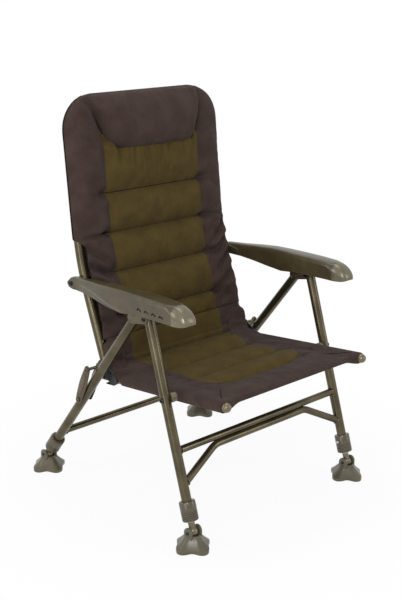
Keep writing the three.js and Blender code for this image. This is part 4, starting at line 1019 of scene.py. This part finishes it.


# the catch notches show as four small arrow-shaped slits in the outer wall; their walls take the black finish, painted
# shade inside the slits
def cutSlits(piece, hand):
    d = slitDims
    bm = bmesh.new()
    for slit in range(d["count"]):
        y, z = catchBar.y + d["ahead"] - slit * d["pitch"], catchBar.z + d["over"]
        sidePlate(bm, [(y + a * mm, z + b * mm) for a, b in d["outline"]], hand * d["inner"], hand * d["outer"], 0)
    bmesh.ops.recalc_face_normals(bm, faces=bm.faces)
    mesh = bpy.data.meshes.new("slitCutter")
    bm.to_mesh(mesh)
    bm.free()
    # the cut walls take this black finish: painted shade inside the slits
    mesh.materials.append(finish["black"])
    cutter = bpy.data.objects.new("slitCutter", mesh)
    bpy.context.scene.collection.objects.link(cutter)
    cut = piece.modifiers.new("slits", "BOOLEAN")
    cut.operation = "DIFFERENCE"
    cut.solver = "EXACT"
    cut.object = cutter
    cut.material_mode = "TRANSFER"
    bpy.context.view_layer.update()
    piece.data = bakedMesh(piece)
    bpy.data.objects.remove(cutter)


for side, hand in sides.items():
    makeArmrest(side, hand)


# quilted pads: a cube cut into a fine grid, each point laid in its place, then puffed up as cloth

print("padded fabric")
skin = 3 * mm
padRim = tubeRadius + skin
greenHalf = 163 * mm
backTop = tubeTop + tubeRadius + 4 * mm


# the rows crowd towards each stop, where a sewn line needs a sharp fold
def rowsBetween(stops, pitch):
    rows = [stops[0]]
    for low, high in zip(stops, stops[1:]):
        count = max(2, round((high - low) / pitch))
        for step in range(1, count + 1):
            share = step / count
            rows.append(mix(low, high, mix(share, (1 - math.cos(math.pi * share)) / 2, 0.7)))
    return rows


# where a column lies: inside the green patch up to its border, then out to the edge
def acrossAt(column, d, border, half):
    inside, over = d["greenColumns"], abs(column) - d["greenColumns"]
    x = abs(column) / inside * border if over <= 0 else mix(border, half, over / (d["columns"] - inside))
    return math.copysign(x, column)


def drawnIn(distance, width):
    return math.exp(-2 * (distance / width) ** 2)


# a quarter round: 0 at the end, 1 from the radius on
def quarterRound(inward, radius, power=2):
    return math.sqrt(max(0, 1 - max(0, 1 - inward / radius) ** power))


# 0 on a sewn line, 1 over most of the roll between two of them
def rollHeight(along, stops):
    for low, high in zip(stops, stops[1:]):
        if low <= along <= high:
            off = abs(2 * (along - low) / (high - low) - 1)
            return (1 - off ** 2.5) ** 0.6
    return 1.0 if along > stops[-1] else 0.0


# each crease runs from the sewn line outwards: its two ends, its depth and its width
def creaseDepth(x, along, creases):
    depth = 0
    for fromX, fromAlong, toX, toAlong, deep, wide in creases:
        wayX, wayAlong = toX - fromX, toAlong - fromAlong
        squared = wayX * wayX + wayAlong * wayAlong
        share = ((x - fromX) * wayX + (along - fromAlong) * wayAlong) / squared
        if -0.2 < share < 1.15:
            off = abs((x - fromX) * wayAlong - (along - fromAlong) * wayX) / math.sqrt(squared)
            fade = smoothStep(share, -0.2, 0.08) * (1 - smoothStep(share, 0.35, 1.15))
            depth += deep * fade * (drawnIn(off, wide) - 0.35 * drawnIn(off - wide * 1.5, wide))
    return depth


# short upright gathers, strongest at the sewn line that they hang from
def gatherHeight(x, along, gathers):
    height = 0
    for middle, fromAlong, length, high, wide in gathers:
        below = fromAlong - along
        if -4 * mm < below < length:
            fade = (1 - smoothStep(below, 0, length)) * smoothStep(below, -4 * mm, 5 * mm)
            height += high * drawnIn(x - middle, wide) * fade
    return height


def clothUv(mesh, flatOf):
    layer = mesh.uv_layers.new(name="clothMetres")
    for loop in mesh.loops:
        layer.data[loop.index].uv = flatOf[loop.vertex_index]


puffSettings = {"quality": 6, "mass": 0.3, "tension_stiffness": 14, "compression_stiffness": 14,
                "shear_stiffness": 5, "bending_stiffness": 0.8, "use_pressure": True, "pin_stiffness": 1}
puffFrames = 20


# cloth under pressure, held where it is sewn; no point moves further than the cap
def puffUp(piece, pins, pressure, cap, growth):
    start = [v.co.copy() for v in piece.data.vertices]
    group = piece.vertex_groups.new(name="sewn")
    for index, weight in pins.items():
        group.add([index], weight, "REPLACE")
    cloth = piece.modifiers.new("puff", "CLOTH")
    for name, value in puffSettings.items():
        setattr(cloth.settings, name, value)
    cloth.settings.uniform_pressure_force = pressure
    cloth.settings.shrink_min = -growth
    cloth.settings.vertex_group_mass = "sewn"
    cloth.settings.effector_weights.gravity = 0
    cloth.collision_settings.use_collision = False
    cloth.point_cache.frame_end = puffFrames
    for step in range(1, puffFrames + 1):
        bpy.context.scene.frame_set(step)
    made = bakedMesh(piece)
    for vert, home in zip(made.vertices, start):
        moved = vert.co - home
        if moved.length > cap:
            vert.co = home + moved.normalized() * cap
    piece.data = made
    bpy.context.scene.frame_set(1)


# rows: the places along; each point has a column across, a place along, a depth from -1 to 1 and its row
def makePad(name, node, body, rows, d, lay, isGreen, pinOf, puff, nudge=None):
    bm = gridBlock((2 * d["columns"] - 1, len(rows) - 2, 2))
    params = []
    for vert in bm.verts:
        row = round((vert.co.y + 1) / 2 * (len(rows) - 1))
        params.append((round(vert.co.x * d["columns"]), rows[row], vert.co.z, row))
    flat = []
    for vert, (column, along, w, row) in zip(bm.verts, params):
        vert.co, across = lay(column, along, w)
        flat.append((across, along + (0 if w > 0 else 0.02)))
    bm.verts.ensure_lookup_table()
    for face in bm.faces:
        corners = [params[v.index] for v in face.verts]
        inside = all(c[2] > 0.9 and abs(c[0]) <= d["greenColumns"] for c in corners)
        face.material_index = 1 if inside and isGreen(sum(c[1] for c in corners) / len(corners)) else 0
    piece = makePiece(name, bm, ["brown", "green"], body, [node])
    clothUv(piece.data, flat)
    if puff:
        pins = {}
        for index, (column, along, w, row) in enumerate(params):
            weight = pinOf(column, along, w, row)
            if weight:
                pins[index] = weight
            else:
                piece.data.vertices[index].co += nudge(column, along)
        puffUp(piece, pins, *puff)
    piece.data.shade_smooth()
    soft = piece.modifiers.new("softened", "SUBSURF")
    soft.levels = 1
    soft.render_levels = 1
    return piece


# the back: a hood over the tubes, four sewn lines across the green panel, slack sides under the hood

backDims = {
    "foot": 62 * mm,
    "footThick": 20 * mm,
    "thick": 43 * mm,
    "narrow": 230 * mm,
    "flare": 27.5 * mm,  # the slack sides swell out in front of the tubes
    "sideThick": 31 * mm,
    "footRise": 90 * mm,  # the padding reaches its full thickness this far above the foot
    "footRound": 2.5 * mm,
    "topRound": 12 * mm,
    "hoodFoot": 330 * mm,
    "hoodFade": 26 * mm,
    "seams": [117 * mm, 231 * mm, 338 * mm, 443 * mm],
    "seamDepth": 22 * mm,
    "borderDepth": 9 * mm,
    "pillowDip": 20 * mm,
    "pillowSeam": 574 * mm,
    "greenTop": 612 * mm,
    "pitch": 6.2 * mm,
    "columns": 48,
    "greenColumns": 33,
}


def hoodShare(along):
    top = backDims["hoodFoot"] + 4 * mm
    return smoothStep(along, top - backDims["hoodFade"], top)


def backHalf(along):
    corner = backLine["cornerRadius"] + tubeRadius + skin
    body = mix(backDims["narrow"], halfRails + padRim, hoodShare(along))
    past = max(0, along - (tubeTop - backLine["cornerRadius"]))
    return body - corner + math.sqrt(max(0, corner * corner - min(past, corner) ** 2))


def makeGathers(seed, places, halfSpan, count, lengths, heights):
    rng = random.Random(seed)
    return [(rng.uniform(-halfSpan, halfSpan), place, rng.uniform(*lengths) * mm, rng.uniform(*heights) * mm,
             rng.uniform(5, 10) * mm) for place in places for _ in range(count)]


# slack in the brown sides gathers into the ends of the sewn lines; lower down it hangs in slanting folds
def sideCreases(seed, seams):
    rng = random.Random(seed)
    creases = []
    for hand in (-1, 1):
        for seam in seams:
            start = hand * (greenHalf + 8 * mm)
            for spread, deep, wide in ((0, 6.4, 14), (26, 6.2, 15), (-22, 5, 14)):
                rise = (spread + rng.uniform(-6, 6)) * mm
                reach = rng.uniform(56, 84) * mm
                creases.append((start, seam, start + hand * reach, seam + rise * 1.6, deep * mm, wide * mm))
        for low, high, deep in ((236, 312, 17), (200, 268, 16), (156, 220, 12), (116, 172, 15), (80, 118, 12)):
            creases.append((hand * 222 * mm, high * mm, hand * 168 * mm, low * mm, deep * mm, 10 * mm))
        hem = (hand * 164 * mm, seams[2], hand * 262 * mm, 334 * mm, 8 * mm, 7 * mm)  # the hood's lower hem
        creases.append(hem)
    return creases


def makeBackPad():
    d = backDims
    stops = [4 * mm] + d["seams"] + [backTop - 64 * mm]
    rows = rowsBetween([d["foot"]] + d["seams"] + [560 * mm, stops[-1], backTop], d["pitch"])
    gathers = makeGathers(5, [d["pillowSeam"]], 140 * mm, 14, (60, 120), (1.8, 5.2))
    gathers += makeGathers(11, d["seams"], 150 * mm, 6, (26, 70), (0.5, 1.6))
    for gather in ((-137, 580, 92, 8.5, 13), (-117, 574, 104, -7, 10), (-98, 572, 84, 6, 10), (118, 574, 96, 7, 12),
                   (136, 580, 84, -7, 10), (149, 584, 80, 6, 9)):  # the deep ones under the headrest's corners
        gathers.append([value * mm for value in gather])
    creases = sideCreases(9, d["seams"])

    def lay(column, along, w):
        half = backHalf(along)
        x = acrossAt(column, d, min(greenHalf, half * 0.7), half)
        side = min(abs(x) / half, 1)
        hood = hoodShare(along)
        rise = smoothStep(along, d["foot"], d["foot"] + d["footRise"])
        full = mix(d["footThick"], d["thick"], rise)
        brow = math.sqrt(max(0, 1 - smoothStep(along, backTop - backLine["cornerRadius"], backTop) ** 4))
        edge = mix(min(d["sideThick"], full), padRim, hood)
        front = edge + (full - edge) * (1 - side ** 6) * brow
        inGreen = 1 - smoothStep(abs(x), greenHalf - 2 * mm, greenHalf + 34 * mm)
        deep = mix(0.6, 1, rise)
        roll = 1 - rollHeight(along, stops)
        front -= d["seamDepth"] * roll * inGreen * deep * (1 - smoothStep(along, 530 * mm, 560 * mm))
        beside = smoothStep(along, 548 * mm, 584 * mm)  # the hood dips beside the headrest, where that is sewn on
        front -= d["pillowDip"] * drawnIn(abs(x) - pillowHalf(along), 24 * mm) * beside * brow
        front -= d["borderDepth"] * drawnIn(abs(x) - greenHalf, 15 * mm) * deep * brow * (1 - 0.5 * roll)
        front -= creaseDepth(x, along, creases) * (1 - smoothStep(side, 0.94, 1)) * brow
        if abs(x) < greenHalf:
            front += gatherHeight(x, along, gathers) * (1 - smoothStep(abs(x), greenHalf - 14 * mm, greenHalf))
        rear = mix(1 * mm, -padRim, hood)
        centre, halfThick = (front + rear) / 2, (front - rear) / 2
        for inward, over in ((along - d["foot"], d["footRound"]), (backTop - along, d["topRound"])):
            halfThick *= max(quarterRound(inward, over), 0.16)
        a, b = roundCorner(x, w * halfThick, half, halfThick, min(halfThick * 0.96, padRim))
        if w > 0 and side > 0.6:
            flare = d["flare"] * (1 - hood) * smoothStep(side, 0.72, 1)
            a += math.copysign(flare * smoothStep(b, 0, halfThick * 1.1), x)
        return onBack(along, centre + b, a), x

    def pinOf(column, along, w, row):
        if w < -0.9 or abs(w) < 0.9 or abs(column) == d["columns"] or row in (0, len(rows) - 1):
            return 1.0
        if abs(column) <= d["greenColumns"] and any(abs(along - seam) < 1e-6 for seam in d["seams"]):
            return 1.0
        if abs(column) == d["greenColumns"] and along < d["greenTop"]:
            return 0.8
        return 0.6 if along > 575 * mm else 0

    rng = random.Random(3)
    makePad("backPad", "back_cover", "backrest", rows, d, lay, lambda along: along < d["greenTop"], pinOf,
            (2.6, 9 * mm, 0.012), lambda column, along: Vector((0, -1, 0)) * rng.uniform(0, 0.7) * mm)
    return lay


# the padded strip across the back hinge, with the flat seam that joins back and seat

stripDims = {"round": 15.2 * mm, "top": 63.5 * mm, "thick": 20 * mm, "half": 222 * mm, "seam": 6 * mm,
             "seamDepth": 1.2 * mm, "seamWidth": 3.2 * mm, "flare": 27 * mm, "pitch": 5 * mm, "columns": 36,
             "greenColumns": 26}


def makeHingeStrip():
    d = stripDims
    turns = 7
    rows = [-d["round"] * math.sin(math.pi / 2 * (1 - step / turns)) for step in range(turns)]
    rows += rowsBetween([0, d["seam"], d["top"]], d["pitch"])
    rng = random.Random(21)
    creases = [(hand * (greenHalf + 2 * mm), (lift * 0.5 + 4) * mm, hand * 214 * mm,
                (lift + rng.uniform(-6, 8)) * mm, rng.uniform(2.4, 4.6) * mm, 6.5 * mm)
               for hand in (-1, 1) for lift in (14, 26, 38, 50)]

    def lay(column, along, w):
        x = acrossAt(column, d, greenHalf, d["half"])
        bend = math.sqrt(max(0, d["round"] ** 2 - min(along, 0) ** 2))
        rise = smoothStep(along, 0, d["top"] - 14 * mm)
        inGreen = 1 - smoothStep(abs(x), greenHalf, greenHalf + 20 * mm)
        front = mix(bend, d["thick"] + 1 * mm, rise)
        front -= d["seamDepth"] * drawnIn(along - d["seam"], d["seamWidth"]) * inGreen
        front -= creaseDepth(x, along, creases)
        rear = -bend * (1 - rise) / 2
        centre, halfThick = (front + rear) / 2, max((front - rear) / 2, 0.6 * mm)
        a, b = roundCorner(x, w * halfThick, d["half"], halfThick, halfThick * 0.9)
        if w > 0:
            flare = d["flare"] * smoothStep(abs(x), 0.72 * d["half"], d["half"]) * smoothStep(b, 0, halfThick)
            a += math.copysign(flare * smoothStep(along, 12 * mm, 36 * mm), x)
        return onBack(along, centre + b, a), x

    piece = makePad("hingeStripPad", "hinge_strip", None, rows, d, lay, lambda along: True, None, None)
    tuple(onBack(6 * mm))
    tuple(onBack(60 * mm))
    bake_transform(piece)


# a single layer of the cover, given its wall
def thinCloth(name, bm, body, wall, offset):
    piece = makePiece(name, bm, "brown", body)
    clothUv(piece.data, [(v.co.x, v.co.z + v.co.y) for v in piece.data.vertices])
    solid = piece.modifiers.new("fabricWall", "SOLIDIFY")
    solid.thickness = wall
    solid.offset = offset
    return piece


gussetDims = {
    "along": (34, 333),
    "turns": (176, 262),  # degrees round the back tube, from its outer side to its rear
    "reach": (25, 15),  # from the tube's line
    "wave": 1.1,
    "wall": 1.6 * mm,
}


# the cover's slack sides run on behind the back tubes
def makeGusset(side, hand):
    d = gussetDims
    bm = bmesh.new()
    bmesh.ops.create_grid(bm, x_segments=12, y_segments=56, size=1)
    for vert in bm.verts:
        across, along = (vert.co.x + 1) / 2, mix(*d["along"], (vert.co.y + 1) / 2)
        turn = math.radians(mix(*d["turns"], across))
        wave = d["wave"] * math.sin(along * 0.11 + 2 * across) * math.sin(math.pi * across)
        reach = mix(*d["reach"], smoothStep(across, 0, 0.75)) + wave
        x = halfRails + reach * mm * math.cos(turn)
        vert.co = onBack(along * mm, reach * mm * math.sin(turn) + 2 * mm * (1 - across), hand * x)
    thinCloth("sideGusset" + side.capitalize(), bm, "backrest", d["wall"], 0)


cornerDims = {
    "spine": [onRail(198 * mm, 17.5 * mm), onRail(222 * mm, 18 * mm), onRail(244 * mm, 21 * mm),
              onRail(262 * mm, 34 * mm), onBack(12 * mm, 23 * mm), onBack(34 * mm, 26 * mm), onBack(60 * mm, 29 * mm)],
    "outward": Vector((0, -0.6, 0.8)),
    "wave": 3.2 * mm,
    "swell": 3 * mm,
    "tuck": 11 * mm,
    "sunk": 9 * mm,
    "wall": 2 * mm,
}


# slack corners of the cover, over the hinge brackets
def makeCornerFold(side, hand):
    d = cornerDims
    spine, last = d["spine"], len(d["spine"]) - 1
    bm = bmesh.new()
    bmesh.ops.create_grid(bm, x_segments=18, y_segments=48, size=1)
    for vert in bm.verts:
        across, walk = (vert.co.x + 1) / 2, (vert.co.y + 1) / 2 * last
        index = min(int(walk), last - 1)
        ease = walk - index
        before, after = spine[max(index - 1, 0)], spine[min(index + 2, last)]
        a, b = spine[index], spine[index + 1]
        place = a + (b - a) * ease + ((a - before) - (b - a)) * (ease * (1 - ease) ** 2 / 2)
        place -= ((after - b) - (b - a)) * (ease * ease * (1 - ease) / 2)
        lift = d["wave"] * math.sin(walk * 3.6 + 2.2 * across * hand + 0.6 * hand) * smoothStep(across, 0.1, 0.45)
        lift += d["swell"] * math.sin(math.pi * across) - d["tuck"] * smoothStep(across, 0.82, 1) ** 2
        sunk = (1 - smoothStep(across, 0, 0.3)) + (1 - smoothStep(walk, 0, 0.7)) + smoothStep(walk, 5.3, 6)
        place += d["outward"] * (lift - d["sunk"] * min(sunk, 1))
        vert.co = atX(place, hand * mix(190, 263 - 9 * smoothStep(walk, 4, 6), across) * mm)
    piece = thinCloth("cornerFold" + side.capitalize(), bm, None, d["wall"], -1)
    start, end = onRail(236 * mm, 18 * mm), onBack(26 * mm, 20 * mm)
    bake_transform(piece)


# the headrest: a fat pillow whose top wraps the upper edge of the back

pillowDims = {
    "top": backTop - 5 * mm,
    "foot": 553 * mm,
    "halfTop": 199 * mm,
    "halfLow": 141 * mm,
    "halfFrom": 16 * mm,  # the low half is measured this far above the foot
    "corner": 26 * mm,
    "lying": 34 * mm,
    "thick": 36 * mm,
    "rearDrop": 24 * mm,  # how far the upper part leans back over the hood
    "sideDrop": 17 * mm,
    "underside": 7 * mm,
    "pitch": 5 * mm,
    "columns": 34,
    "greenColumns": -1,
}


def pillowHalf(along):
    d = pillowDims
    low = d["foot"] + d["halfFrom"]
    straight = min(mix(d["halfLow"], d["halfTop"], (along - low) / (d["top"] - low)), backHalf(along) - 6 * mm)
    past = min(max(0, d["foot"] + d["corner"] - along), d["corner"])
    return straight - d["corner"] + math.sqrt(max(0, d["corner"] ** 2 - past * past))


def makeHeadrest():
    d = pillowDims
    low, high = d["foot"], d["top"]
    rows = rowsBetween([low, mix(low, high, 0.3), mix(low, high, 0.7), high], d["pitch"])
    rng = random.Random(8)
    folds = [(rng.uniform(-150, 150) * mm, rng.uniform(0.5, 1.6) * mm, rng.uniform(7, 13) * mm, rng.uniform(0.3, 1))
             for _ in range(14)]

    def lay(column, along, w):
        share = (along - low) / (high - low)
        half = pillowHalf(along)
        quarter = math.pi / 2 * 0.9
        x = math.sin(column / d["columns"] * quarter) / math.sin(quarter) * half
        side = (1 - abs(x / half) ** 7) ** 0.5
        lip = quarterRound(share, 0.14, 2.4)  # the lower edge is rolled under
        crest = quarterRound(1 - share, 0.5, 3.2)
        thick = d["thick"] * lip * mix(0.32, 1, crest) * side
        for place, swell, wide, reach in folds:
            fade = smoothStep(share, 0, 0.2) * mix(0.3, 1, reach) * lip
            thick += swell * drawnIn(x - place, wide) * side * fade
        base = d["lying"] - d["rearDrop"] * smoothStep(share, 0.4, 1) ** 1.5 - d["sideDrop"] * (1 - side)
        return onBack(along, base - d["underside"] * (1 - w) / 2 + thick * (w + 1) / 2, x), x

    def pinOf(column, along, w, row):
        edge = abs(column) == d["columns"] or row in (0, len(rows) - 1)
        return 1.0 if edge or w < -0.3 else 0

    makePad("headrestPad", "headrest_pillow", "backrest", rows, d, lay, lambda along: False, pinOf,
            (2.4, 7 * mm, 0.01), lambda column, along: Vector((0, -0.4 * mm, 0)))
    return lay


# the seat: slung between the rails, three rolls with rounded ends in the green patch

seatDims = {
    "front": -161 * mm,
    "rear": 264 * mm,
    "neck": 222 * mm,
    "thick": 16 * mm,
    "heights": (12.5 * mm, 8 * mm, 31 * mm),  # over the rails' line at the front, in the middle and at the rear
    "seams": [47 * mm, 158 * mm],
    "patchFront": -46 * mm,
    "patchHalves": (163 * mm, 151 * mm, 148 * mm, 170 * mm),  # at the patch's front, at the seams and at the rear
    "patchCorner": 42 * mm,
    "patchLeast": 92 * mm,
    "seamDepth": 14 * mm,
    "rollRise": 9 * mm,
    "borderDepth": 2.4 * mm,
    "frontSeamDepth": 2.2 * mm,
    "frontRound": 12 * mm,
    "rearRound": 10 * mm,
    "pitch": 6.2 * mm,
    "columns": 44,
    "greenColumns": 26,
}


# three rolls with rounded ends; the front corners are round
def patchHalfAt(along):
    d = seatDims
    stops = list(zip([d["patchFront"]] + d["seams"] + [d["rear"]], d["patchHalves"]))
    if along <= d["patchFront"]:
        return d["patchLeast"]
    for (low, halfLow), (high, halfHigh) in zip(stops, stops[1:]):
        if along <= high:
            share, corner = (along - low) / (high - low), d["patchCorner"]
            half = mix(halfLow, halfHigh, share) + 9 * mm * math.sin(math.pi * share) ** 0.6
            past = max(0, d["patchFront"] + corner - along)
            return half - (corner - math.sqrt(max(0, corner ** 2 - past * past))) * 1.7
    return d["patchHalves"][-1]


# how far a place lies over a rail: 0 on the slung part, 1 above the rail's line
def overRailAt(x):
    return smoothStep(abs(x), halfRails - 54 * mm, halfRails)


def makeSeatPad():
    d = seatDims
    wide = halfRails + padRim
    narrow = halfRails - plateOut - 2 * mm
    stops = [d["patchFront"]] + d["seams"] + [d["rear"] + 8 * mm]
    rows = rowsBetween([d["front"], d["front"] + d["frontRound"], d["patchFront"]] + d["seams"]
                       + [d["neck"], d["rear"]], d["pitch"])
    front, middle, rear = d["heights"]
    creases = []
    for hand in (-1, 1):
        for fromX, fromAlong, toX, toAlong, deep, wideness in (
                (160, -40, 248, -138, 3, 5), (158, 47, 214, 30, 3.2, 8), (158, 158, 220, 176, 4.5, 9),
                (158, 200, 214, 232, 4, 8), (158, 236, 212, 244, 4, 7)):
            creases.append((hand * fromX * mm, fromAlong * mm, hand * toX * mm, toAlong * mm, deep * mm,
                            wideness * mm))

    def heightAt(along):
        slope = mix(front, middle, smoothStep(along, d["front"], d["front"] + 150 * mm))
        return mix(slope, rear, smoothStep(along, d["rear"] - 130 * mm, d["rear"]))

    def lay(column, along, w):
        half = mix(wide, narrow, smoothStep(along, d["neck"] - 8 * mm, d["neck"] + 2 * mm))
        patch = min(max(patchHalfAt(along), 60 * mm), half - 20 * mm)
        x = acrossAt(column, d, patch, half)
        overRail = overRailAt(x)
        inward = min((along - d["front"]) / d["frontRound"], (d["rear"] - along) / d["rearRound"], 1)
        thick = d["thick"] * mix(0.35, 1, quarterRound(inward, 1))
        top = heightAt(along) - (d["thick"] - thick) / 2
        inGreen = 1 - smoothStep(abs(x), patch - 4 * mm, patch + 22 * mm)
        begun = smoothStep(along, d["patchFront"] - 12 * mm, d["patchFront"] + 14 * mm)
        roll = rollHeight(along, stops) if along > d["patchFront"] else 0
        rise = d["rollRise"] * (1 - smoothStep(along, 186 * mm, 250 * mm))  # room for the folding back
        dip = d["seamDepth"] * (1 - roll) * (1 - 0.5 * smoothStep(along, 238 * mm, 254 * mm))
        top += (rise - dip) * inGreen * begun
        top -= d["borderDepth"] * drawnIn(abs(x) - patch, 7 * mm) * begun
        frontSeam = drawnIn(along - d["patchFront"], 6 * mm) * (1 - smoothStep(abs(x), 140 * mm, 172 * mm))
        top -= d["frontSeamDepth"] * frontSeam
        top = mix(top, padRim, overRail)
        top -= creaseDepth(x, along, creases) * (1 - smoothStep(abs(x), halfRails - 10 * mm, halfRails + 6 * mm))
        base = mix(heightAt(along) - (d["thick"] + thick) / 2, -padRim, overRail)
        centre, halfThick = (top + base) / 2, max((top - base) / 2, 1.5 * mm)
        a, b = roundCorner(x, w * halfThick, half, halfThick, min(halfThick * 0.98, padRim))
        return onRail(along, centre + b, a), x

    def pinOf(column, along, w, row):
        if w < 0.9 or abs(column) >= d["columns"] - 6 or row in (0, 1, 2, len(rows) - 1):
            return 1.0
        inGreen = abs(column) <= d["greenColumns"]
        if inGreen and any(abs(along - seam) < 1e-6 for seam in d["seams"] + [d["patchFront"]]):
            return 1.0
        return 0.8 if abs(column) == d["greenColumns"] and along > d["patchFront"] else 0

    rng = random.Random(7)
    makePad("seatPad", "seat_cover", "seat", rows, d, lay, lambda along: along > d["patchFront"], pinOf,
            (1.6, 6 * mm, 0.008), lambda column, along: Vector((0, 0, rng.uniform(-0.2, 0.4) * mm)))
    return lay


backLay = makeBackPad()
makeHingeStrip()
for side, hand in sides.items():
    makeGusset(side, hand)
    makeCornerFold(side, hand)
pillowLay = makeHeadrest()
seatLay = makeSeatPad()

print("piping and seams")


# piping: a thin covered cord sewn along an edge; the same dark cord laid in a sewn line is painted shade
def makeDarkCord(name, path, body, radius):
    bm = bmesh.new()
    drawTube(bm, path, radius, 10)
    makePiece(name, bm, "piping", body)


pillowSteps = rowsBetween([pillowDims["foot"], pillowDims["top"]], 6 * mm)
pillowEdge = [pillowLay(hand * pillowDims["columns"], along, 1)[0] + Vector((0, -0.4 * mm, 0))
              for hand, alongs in ((-1, pillowSteps[::-1]), (1, pillowSteps)) for along in alongs]
makeDarkCord("pillowPiping", pillowEdge, "backrest", 1.7 * mm)

# the covered edge that runs round the hood, on the outer side of the tubes
pipingFoot, pipingTop, pipingSteps = 335 * mm, backTop - 6 * mm, 46
hoodSide = []
for step in range(pipingSteps + 1):
    along = pipingFoot + (pipingTop - pipingFoot) * step / pipingSteps
    hoodSide.append(onBack(along, -1 * mm, backHalf(along) + 0.6 * mm))
hoodTop = [Vector((x * hoodSide[-1].x, hoodSide[-1].y, hoodSide[-1].z)) for x in (0.7, 0.35, 0, -0.35, -0.7)]
mirrored = [Vector((-p.x, p.y, p.z)) for p in reversed(hoodSide)]
makeDarkCord("hoodPiping", hoodSide + hoodTop + mirrored, "backrest", 1.3 * mm)

# a thin very dark cord lies in each sewn line of the back and seat: painted shade for the shadow down in each seam's
# channel
for prefix, d, lay, body, shift, radius in (
        ("backSeamShadeCord", backDims, backLay, "backrest", Vector((0, -0.9 * mm, 0)), 1.7 * mm),
        ("seatSeamShadeCord", seatDims, seatLay, "seat", railUp * 0.4 * mm, 1.2 * mm)):
    for index, seam in enumerate(d["seams"]):
        path = [lay(column, seam, 1)[0] + shift for column in range(-d["greenColumns"], d["greenColumns"] + 1)]
        makeDarkCord(prefix + str(index + 1), path, body, radius)

# the mitred seam from the patch's corner to the front corner of the seat
mitreDims = {"along": (-42, -140), "across": (150, 238), "steps": 10}
for side, hand in sides.items():
    path = []
    for step in range(mitreDims["steps"] + 1):
        share = step / mitreDims["steps"]
        x = hand * mix(*mitreDims["across"], share) * mm
        above = mix(seatDims["heights"][0], padRim, overRailAt(x)) + 0.2 * mm
        path.append(onRail(mix(*mitreDims["along"], share) * mm, above, x))
    makeDarkCord("seatMitre" + side.capitalize(), path, "seat", 0.8 * mm)
